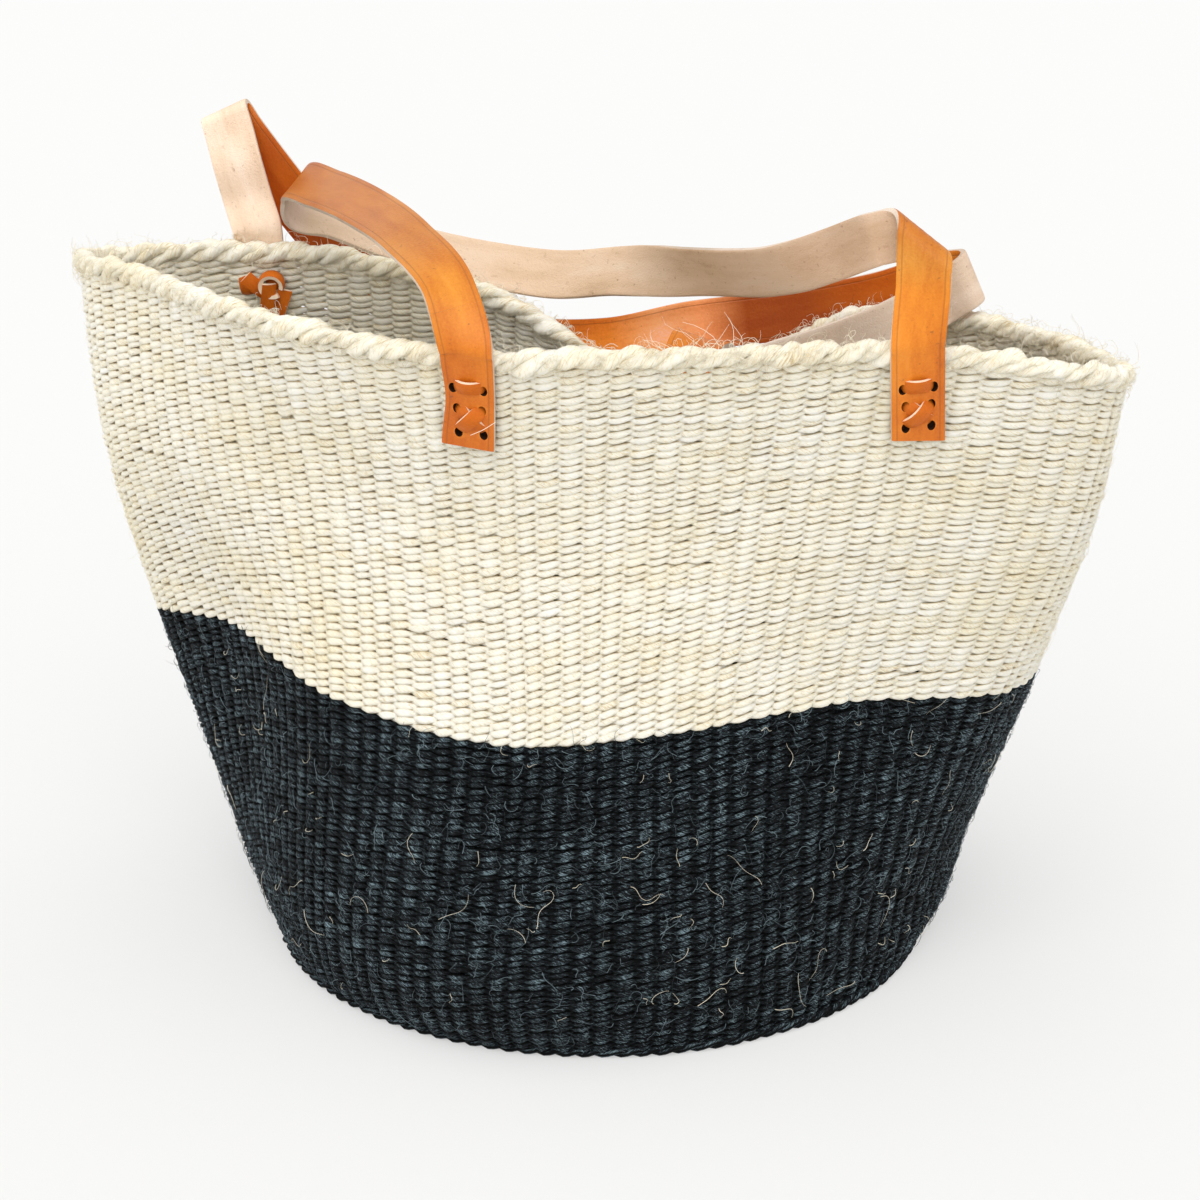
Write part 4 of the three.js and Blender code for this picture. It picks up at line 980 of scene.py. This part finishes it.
# The laces
# A thong of a redder piece of the same leather, 7 mm wide, is drawn through the holes and the wall. Outside
# it shows a bar and a cross under it, and inside it is tied in a curl with three short ends.
LACE_WIDTH = 0.007
LACE_THICKNESS = 0.0016
LACE_ACROSS = np.linspace(0, 1, 7)
LACE_THINNING = np.array([0.8, 0.95, 1, 1, 1, 0.95, 0.8])
LACE_HOLLOW = 0.0004
# Where a lace lies across the leather's map, which keeps it off the creased lines.
LACE_MAP_START = 0.008
STITCH_DIVE = 0.0035
# How wide the hanging ends and the inner links lie, as shares of the lace's width.
END_SHARE = 0.92
LINK_SHARE = 0.8
STITCH_BOW = 0.0016
# The stitches over a tab: name, from and to which hole, lift and how far the upper edge stands off the tab.
STITCHES = [("bar", "bar_left", "bar_right", 0.002, 0.3),
            ("cross_under", "upper_left", "lower_right", 0.0012, 0.25),
            ("cross_over", "lower_left", "upper_right", 0.0032, 0.3)]
# The knot inside: where it lies to the side of the tab's middle and up from it, and its curl.
KNOT_SIDE = -0.0068
KNOT_UP = 0.0042
KNOT_INSIDE = 0.0015
CURL_RADII = (0.005, 0.006)
CURL_ANGLES = (-110, 210)
CURL_WIDTH = 0.0058
CURL_THICKNESS = 0.0022
CURL_LIFT = 0.0036
CURL_STEPS = 40
# The ends that hang from the knot: side, up, lean, length and lift off the wall.
KNOT_ENDS = [(0.0125, 0.003, -0.72, 0.016, 0.002), (0.0008, 0.0012, 0.18, 0.02, 0.0058),
             (-0.0062, -0.0026, 0.3, 0.017, 0.0042)]
LINKS = [("bar_left", "upper_left"), ("bar_right", "upper_right")]
lace_grain = leather(
    "lace_grain", [(0.1, (0.38, 0.07, 0.004)), (0.4, (0.5, 0.105, 0.007)), (0.7, (0.63, 0.155, 0.012)),
                   (1.0, (0.7, 0.22, 0.03))],
    rough=0.45, shine=0.15, grain_scale=900.0, bump_strength=0.5, freckle=0.6)
lace_edge = leather(
    "lace_edge", [(0.2, (0.7, 0.5, 0.34)), (0.5, (0.88, 0.68, 0.5)), (0.8, (0.93, 0.78, 0.62)),
                  (1.0, (0.95, 0.85, 0.72))],
    rough=0.9, shine=0.2, grain_scale=1500.0, bump_strength=0.8, freckle=0.2)


def thong(name, middles, edges, widths, thickness=LACE_THICKNESS):
    """A thong along middles with its width w along edges, a little hollowed:
    point = middle + edge w s - n hollow (2 s)^2, with s from -1/2 to 1/2."""
    way = unit(np.gradient(middles, axis=0))
    edges = square_to(edges, way)
    s = (LACE_ACROSS - 0.5)[None, :, None]
    widths = np.broadcast_to(widths, len(middles))[:, None, None]
    hollow = LACE_HOLLOW * (2 * s) ** 2 * np.cross(way, edges)[:, None]
    rows = middles[:, None] + s * widths * edges[:, None] - hollow
    return band_mesh(name, rows, (lace_grain, flesh_side, lace_edge), thickness, LACE_THINNING,
                     run_along(middles), LACE_ACROSS * LACE_WIDTH + LACE_MAP_START)


def hole_to_hole(tab, start, end, s):
    """Places to the side and up on the line between two holes, and the way across it in the tab's face."""
    (a, b), (c, d) = hole_at(tab, start), hole_at(tab, end)
    across = ((c - a) * tab["up"] - (d - b) * tab["side"]) / math.hypot(c - a, d - b)
    return a + (c - a) * s, b + (d - b) * s, across


def stitch(name, tab, start, end, lift, tilt):
    """A stitch over the tab from hole to hole, with h = sin(pi s): up is bowed by bow h^0.6, the upper edge
    stands off the tab by tilt h, and out = (half the tab + lift + dive) h^0.4 - dive, so the ends dive in."""
    s = np.linspace(0, 1, 23)
    hump = np.sin(np.pi * s)
    side, up, across = hole_to_hole(tab, start, end, s)
    out = (STRAP_THICKNESS / 2 + lift + STITCH_DIVE) * hump ** 0.4 - STITCH_DIVE
    middles = in_tab(tab, side, up + STITCH_BOW * hump ** 0.6, out)
    edges = across + (tilt * hump)[:, None] * tab["out"]
    return thong(name, middles, edges, LACE_WIDTH * (0.6 + 0.4 * hump ** 0.5))


def knot_curl(name, tab, depth):
    """A curl of thong seen on its edge: radius = 5 mm to 6 mm over 320 degrees."""
    a, r = np.radians(np.linspace(*CURL_ANGLES, CURL_STEPS)), np.linspace(*CURL_RADII, CURL_STEPS)
    out = np.full(CURL_STEPS, depth - CURL_LIFT)
    middles = in_tab(tab, KNOT_SIDE + r * np.sin(a), KNOT_UP + r * np.cos(a), out)
    return thong(name, middles, np.broadcast_to(-tab["out"], middles.shape), CURL_WIDTH, CURL_THICKNESS)


def knot_end(name, tab, depth, number, draw):
    """A short end that hangs from the knot, leans by its own bend and twists about its way."""
    side, up, lean, length, lift = KNOT_ENDS[number]
    s = np.linspace(0, 1, 20)
    bend = lean + draw.uniform(-0.05, 0.05)
    along = KNOT_SIDE + side + length * s * math.sin(bend)
    down = KNOT_UP + up - length * s * math.cos(bend)
    middles = in_tab(tab, along, down, depth - lift + 0.0022 * s - 0.001 * np.sin(np.pi * s))
    edge = -math.cos(bend) * tab["side"] - math.sin(bend) * tab["up"]
    tilt = 0.45 * np.sin(2.2 * s + number + 1)[:, None]
    return thong(name, middles, edge * np.cos(tilt) + tab["out"] * np.sin(tilt), LACE_WIDTH * END_SHARE)


def knot_link(name, tab, depth, start, end):
    """A link along the inside of the wall, between a hole of the bar and one of the cross."""
    s = np.linspace(0, 1, 12)
    side, up, across = hole_to_hole(tab, start, end, s)
    middles = in_tab(tab, side, up, depth + 0.003 - 0.0034 * np.sin(np.pi * s) ** 0.5)
    return thong(name, middles, np.broadcast_to(-across, middles.shape), LACE_WIDTH * LINK_SHARE)


for number, (name, tab) in enumerate(tabs.items()):
    lace = f"{name}_lace"
    draw = np.random.default_rng(500 + number)
    depth = -(STRAP_THICKNESS / 2 + tab["reach"] + WALL + KNOT_INSIDE)
    pieces = [stitch(f"{lace}_{part}", tab, *where) for part, *where in STITCHES]
    pieces.append(knot_curl(f"{lace}_curl", tab, depth))
    pieces += [knot_end(f"{lace}_end_{k + 1}", tab, depth, k, draw) for k in range(len(KNOT_ENDS))]
    pieces += [knot_link(f"{lace}_link_{k}", tab, depth, *holes) for k, holes in enumerate(LINKS, 1)]
    for piece in pieces:
        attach(piece, "basket")
        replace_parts(piece, lace)

# Loose fibres
# Twisted sisal sheds: fine ends stand off every row, and long pale hairs curl over the dark wall and the rim.
FIBRE_PARTS = 7
FIBRE_FOOT = 0.0002
FIBRE_THINNING = 0.6


def hair(name, colours, roughness):
    """Single fibres: a plain shade drawn per hair by Tone."""
    made, shader, add, links = material(name, roughness, 0.4)
    tone = add("Attribute", attribute_name="Tone").outputs["Fac"]
    links.new(ramp(add, tone, colours), shader.inputs["Base Color"])
    return made


PALE_HAIR_SHADES = [(0.0, (0.35, 0.3, 0.2)), (0.5, (0.75, 0.67, 0.5)), (1.0, (0.93, 0.87, 0.72))]
# The dark fibres' palest bluish grey is painted highlight, their sheen.
DARK_HAIR_SHADES = [(0.0, (0.004, 0.005, 0.006)), (0.5, (0.02, 0.03, 0.035)), (1.0, (0.2, 0.27, 0.3))]
pale_hair = hair("pale_fibre", PALE_HAIR_SHADES, 0.6)
dark_hair = hair("dark_fibre", DARK_HAIR_SHADES, 0.5)


def loose_fibres(name, turn, climb, inside, length, curl, stand, radius, tone, finish, seed,
                 headings=(0, 2 * np.pi), parts=FIBRE_PARTS):
    """Hairs that start in the wall. With s from 0 to 1 along a hair, its way turns at a steady rate plus a
    slow random swing, and its height over the wall = stand sin(pi s^0.7):
    point = start + sum of the ways + height out."""
    draw = np.random.default_rng(seed)
    count = len(turn)
    point, out, up = wall_frame(turn, climb)
    out = np.where(inside[:, None], -out, out)
    point = point + np.where(inside, WALL, 0)[:, None] * out
    side = unit(np.cross(up, out))
    s = np.linspace(0, 1, parts + 1)
    heading = draw.uniform(*headings, count)[:, None]
    bend = draw.normal(0, 1, count)[:, None] * curl
    swing = draw.normal(0, 0.5, (count, 1)) * np.sin(2 * np.pi * s + draw.uniform(0, 6, (count, 1)))
    angle = heading + bend * s + swing
    step = length[:, None] / parts
    x, y = (np.concatenate([np.zeros((count, 1)), np.cumsum(share(angle) * step, 1)[:, :-1]], 1)
            for share in (np.cos, np.sin))
    high = stand[:, None] * np.sin(np.pi * s ** 0.7) + FIBRE_FOOT
    centre = (point[:, None] + x[..., None] * side[:, None] + y[..., None] * up[:, None]
              + high[..., None] * out[:, None])
    way = unit(np.gradient(centre, axis=1))
    first = unit(np.cross(way, out[:, None] + 0.01 * side[:, None]))
    thin = radius[:, None] * (1 - FIBRE_THINNING * s)
    second = np.cross(way, first)
    return strand_mesh(name, centre, first, second, thin, thin, tone[:, None], length[:, None] * s, finish,
                       closed=False, sides=3)


def scatter(name, count, low, high, inside_share, length, curl, stand, radius, tones, finish, seed,
            parts=FIBRE_PARTS):
    """Fibres at random places between two climbs of the wall, most of them short."""
    draw = np.random.default_rng(seed)
    turn = draw.uniform(0, 1, count)
    climb = at_turn(low, turn) + (at_turn(high, turn) - at_turn(low, turn)) * draw.uniform(0, 1, count)
    inside = draw.uniform(0, 1, count) < inside_share
    size = length[0] + (length[1] - length[0]) * draw.uniform(0, 1, count) ** 2
    high = draw.uniform(0.2, 1, count) * stand
    thick, tone = draw.uniform(*radius, count), draw.uniform(*tones, count)
    piece = loose_fibres(name, turn, climb, inside, size, curl, high, thick, tone, finish, seed + 1,
                         parts=parts)
    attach(piece, "basket")


floor_line = np.full(COLUMNS, 0.012)
scatter("dark_wall_fibres", 3900, floor_line, stripe_climb, inside_share=0.12, length=(0.004, 0.013),
        curl=1.8, stand=0.0014, radius=(0.00009, 0.00016), tones=(0.3, 1), finish=dark_hair,
        seed=601)
scatter("pale_fibres_on_dark", 240, floor_line, stripe_climb, inside_share=0.15, length=(0.004, 0.024),
        curl=1.5, stand=0.0016, radius=(0.00009, 0.00015), tones=(0.65, 1), finish=pale_hair,
        seed=603, parts=16)
scatter("cream_wall_fibres", 2200, stripe_climb, warp_length - 0.004, inside_share=0.35,
        length=(0.004, 0.015), curl=1.6, stand=0.0014, radius=(0.00006, 0.00011), tones=(0.5, 1),
        finish=pale_hair, seed=605)
scatter("rim_fibres", 4400, warp_length - 0.011, warp_length, inside_share=0.5, length=(0.003, 0.013),
        curl=2.2, stand=0.0034, radius=(0.00008, 0.00017), tones=(0.5, 1), finish=pale_hair,
        seed=607)

# A tangle of longer fibres stands up from the rim between the two front tabs.
TANGLE_COUNT = 26
tangle = np.random.default_rng(609)
tangle_turn = tangle.uniform(0.322, 0.352, TANGLE_COUNT)
tangled = loose_fibres(
    "rim_tangle", tangle_turn, at_turn(warp_length, tangle_turn) - 0.003, np.zeros(TANGLE_COUNT, bool),
    length=tangle.uniform(0.01, 0.034, TANGLE_COUNT), curl=4.0, stand=tangle.uniform(0, 0.004, TANGLE_COUNT),
    radius=tangle.uniform(0.00012, 0.0002, TANGLE_COUNT), tone=tangle.uniform(0.6, 1, TANGLE_COUNT),
    finish=pale_hair, seed=610, headings=(0.2, 2.9))
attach(tangled, "basket")

# A drawn-out fibre of the lace lies across the foot of the left front tab.
STRAY_RADIUS = 0.00012
stray_tab = tabs["front_left"]
stray_stops = in_tab(stray_tab, side=[0.0006, 0.003, 0.0065, 0.0116], up=[-0.0161, -0.0142, -0.012, -0.0088],
                     out=[0.0042, 0.0048, 0.0046, 0.0022])
stray_at = np.linspace(0, len(stray_stops) - 1, 25)
stray_way = spline_points(stray_stops, stray_at)[None]
stray_side = unit(np.cross(unit(np.gradient(stray_way, axis=1)), stray_tab["out"]))
stray = strand_mesh("stray_fibre", stray_way, stray_side, stray_tab["out"], STRAY_RADIUS, STRAY_RADIUS, 1,
                    stray_at / 100, pale_hair, closed=False, sides=5)
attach(stray, "basket")

# Floor, light and camera
# The basket stands on a white sweep in an even, pale light, a little stronger from the upper left, and is
# seen from 21 degrees to the right and 21 degrees up, 2 m away.
FLOOR_HALF_SIZE = 30
CAMERA_AZIMUTH = math.radians(21)
CAMERA_ELEVATION = math.radians(21)
CAMERA_DISTANCE = 2.0
CAMERA_AIM = np.array([0, 0, 0.16])
floor_mesh = bpy.data.meshes.new("floor")
floor_corners = FLOOR_HALF_SIZE * np.array([(-1, -1, 0), (1, -1, 0), (1, 1, 0), (-1, 1, 0)])
floor_mesh.from_pydata(floor_corners, [], [(0, 1, 2, 3)])
floor = linked("floor", floor_mesh)
floor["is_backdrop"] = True
# To the camera the floor is half lit and half of an even pale white. To all else it is lit only.
floor_paint, floor_shader, add, links = material("floor_white", 1.0, 0.0)
floor_shader.inputs["Base Color"].default_value = (0.71, 0.71, 0.705, 1)
glow = add("Emission", {"Color": (0.955, 0.955, 0.945, 1)})
seen = calculated(add, "MULTIPLY", add("LightPath").outputs["Is Camera Ray"], 0.5)
lifted = add("MixShader", {0: seen, 1: floor_shader.outputs[0], 2: glow.outputs[0]})
links.new(lifted.outputs[0], floor_paint.node_tree.nodes["Material Output"].inputs["Surface"])
floor_mesh.materials.append(floor_paint)

sun = bpy.data.lights.new("window", "SUN")
sun.energy, sun.angle = 1.6, math.radians(60)
linked("window", sun).rotation_euler = (math.radians(44), 0, math.radians(12))
world = bpy.data.worlds.new("studio")
bpy.context.scene.world = world
world.use_nodes = True
world.node_tree.nodes["Background"].inputs["Color"].default_value = (1, 1, 1, 1)
world.node_tree.nodes["Background"].inputs["Strength"].default_value = 1.04

camera_data = bpy.data.cameras.new("camera")
camera_data.sensor_width = 36
camera_data.lens = 129.59
camera = linked("camera", camera_data)
back = np.array([math.sin(CAMERA_AZIMUTH) * math.cos(CAMERA_ELEVATION),
                 -math.cos(CAMERA_AZIMUTH) * math.cos(CAMERA_ELEVATION), math.sin(CAMERA_ELEVATION)])
camera.location = CAMERA_AIM + CAMERA_DISTANCE * back
camera.rotation_euler = (math.pi / 2 - CAMERA_ELEVATION, 0, CAMERA_AZIMUTH)
bpy.context.scene.camera = camera
bpy.context.scene.view_settings.view_transform = "Standard"

visual_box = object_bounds()
{"cad": [list(map(float, corner)) for corner in cad_box], "visual": [list(map(float, corner)) for corner in visual_box]}
